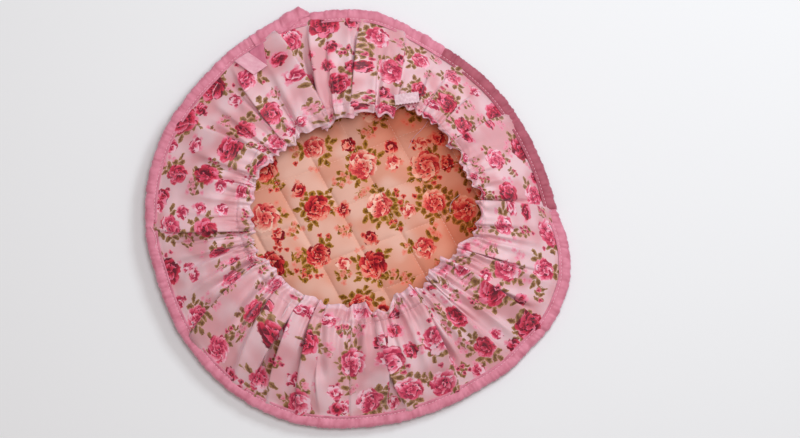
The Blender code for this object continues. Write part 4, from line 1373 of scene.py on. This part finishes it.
def build_stage(floor_material):
    bm = bmesh.new()
    bmesh.ops.create_grid(bm, x_segments=1, y_segments=1, size=4.0)
    bmesh.ops.translate(bm, verts=bm.verts, vec=(0, 0, -0.2 * MM))
    floor = add_object("floor", bm, floor_material)

    across = SCALE_M_PER_PX * PHOTO_WIDTH_PX
    aim = Vector(((PHOTO_WIDTH_PX / 2 - OBJECT_CENTRE_PX) * SCALE_M_PER_PX, -1.2 * MM, 0.012))
    data = bpy.data.cameras.new("camera")
    data.sensor_width = 36.0
    data.lens = data.sensor_width * CAMERA_DISTANCE / across
    camera = bpy.data.objects.new("camera", data)
    tilt = math.radians(VIEW_ELEVATION)
    camera.location = aim + Vector((0, -math.cos(tilt), math.sin(tilt))) * CAMERA_DISTANCE
    camera.rotation_euler = (math.radians(90.0 - VIEW_ELEVATION), 0.0, 0.0)
    SCENE.collection.objects.link(camera)
    SCENE.camera = camera

    # (name, place, size across, watts, tint): one soft light overhead, one from the side
    lights = (("overhead", (0.12, 0.20, 1.68), 0.5, 10.8, "#FCFAFF"),
              ("key", (0.85, 0.85, 1.20), 0.5, 10.6, "#FAF8FF"))
    for name, place, size, power, tint in lights:
        lamp = bpy.data.lights.new(name, "AREA")
        lamp.size = size
        lamp.energy = power
        lamp.color = srgb(tint)[:3]
        obj = bpy.data.objects.new(name, lamp)
        obj.location = place
        obj.rotation_euler = (-Vector(place)).to_track_quat("-Z", "Y").to_euler()
        SCENE.collection.objects.link(obj)
    world = bpy.data.worlds.new("studio")
    world.use_nodes = True
    back = world.node_tree.nodes["Background"]
    back.inputs["Color"].default_value = srgb("#FFE4DF")
    back.inputs["Strength"].default_value = 0.37
    SCENE.world = world
    SCENE.view_settings.view_transform = "Standard"


def main():
    materials = make_materials()
    build_stage(materials["floor"])
    skirt, casing = build_skirt(materials["skirt"])
    bpy.context.view_layer.update()
    tree = BVHTree.FromObject(skirt, bpy.context.evaluated_depsgraph_get())
    pad = build_pad(materials["lining"], materials["outer"])
    binding = build_binding(materials["binding"])
    binding_end = build_binding_end(materials["binding"])
    loop = build_loop(tree, materials["ribbon"])
    elastic = build_strip(tree, materials["elastic"])
    threads = {ink: row_of_stitches(f"stitches, {ink}", materials[f"{ink} thread"])
               for ink in ("peach", "pink", "pale")}
    bpy.context.view_layer.update()
    sewing = build_sewing(pad, binding, casing, threads)
    graph = bpy.context.evaluated_depsgraph_get()
    trees = [tree, BVHTree.FromObject(pad, graph), BVHTree.FromObject(binding, graph)]
    sewing += (build_loose_ends(trees, materials["pale thread"]),)
    for rows, slot in zip(sewing, ("lining_cotton", "skirt_cotton", "binding", "skirt_cotton",
                                   "skirt_cotton")):
        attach(rows, "root")
    pieces = ((skirt, "gathered_skirt", "skirt_cotton"), (pad, "quilted_pad", "lining_cotton"),
              (binding, "rim_binding", "binding"), (binding_end, "rim_binding", "binding"),
              (loop, "hanging_loop", "loop_ribbon"), (elastic, "elastic_strip", "elastic"))
    for piece, solid, slot in pieces:
        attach(piece, "root")
        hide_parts(solid)


main()
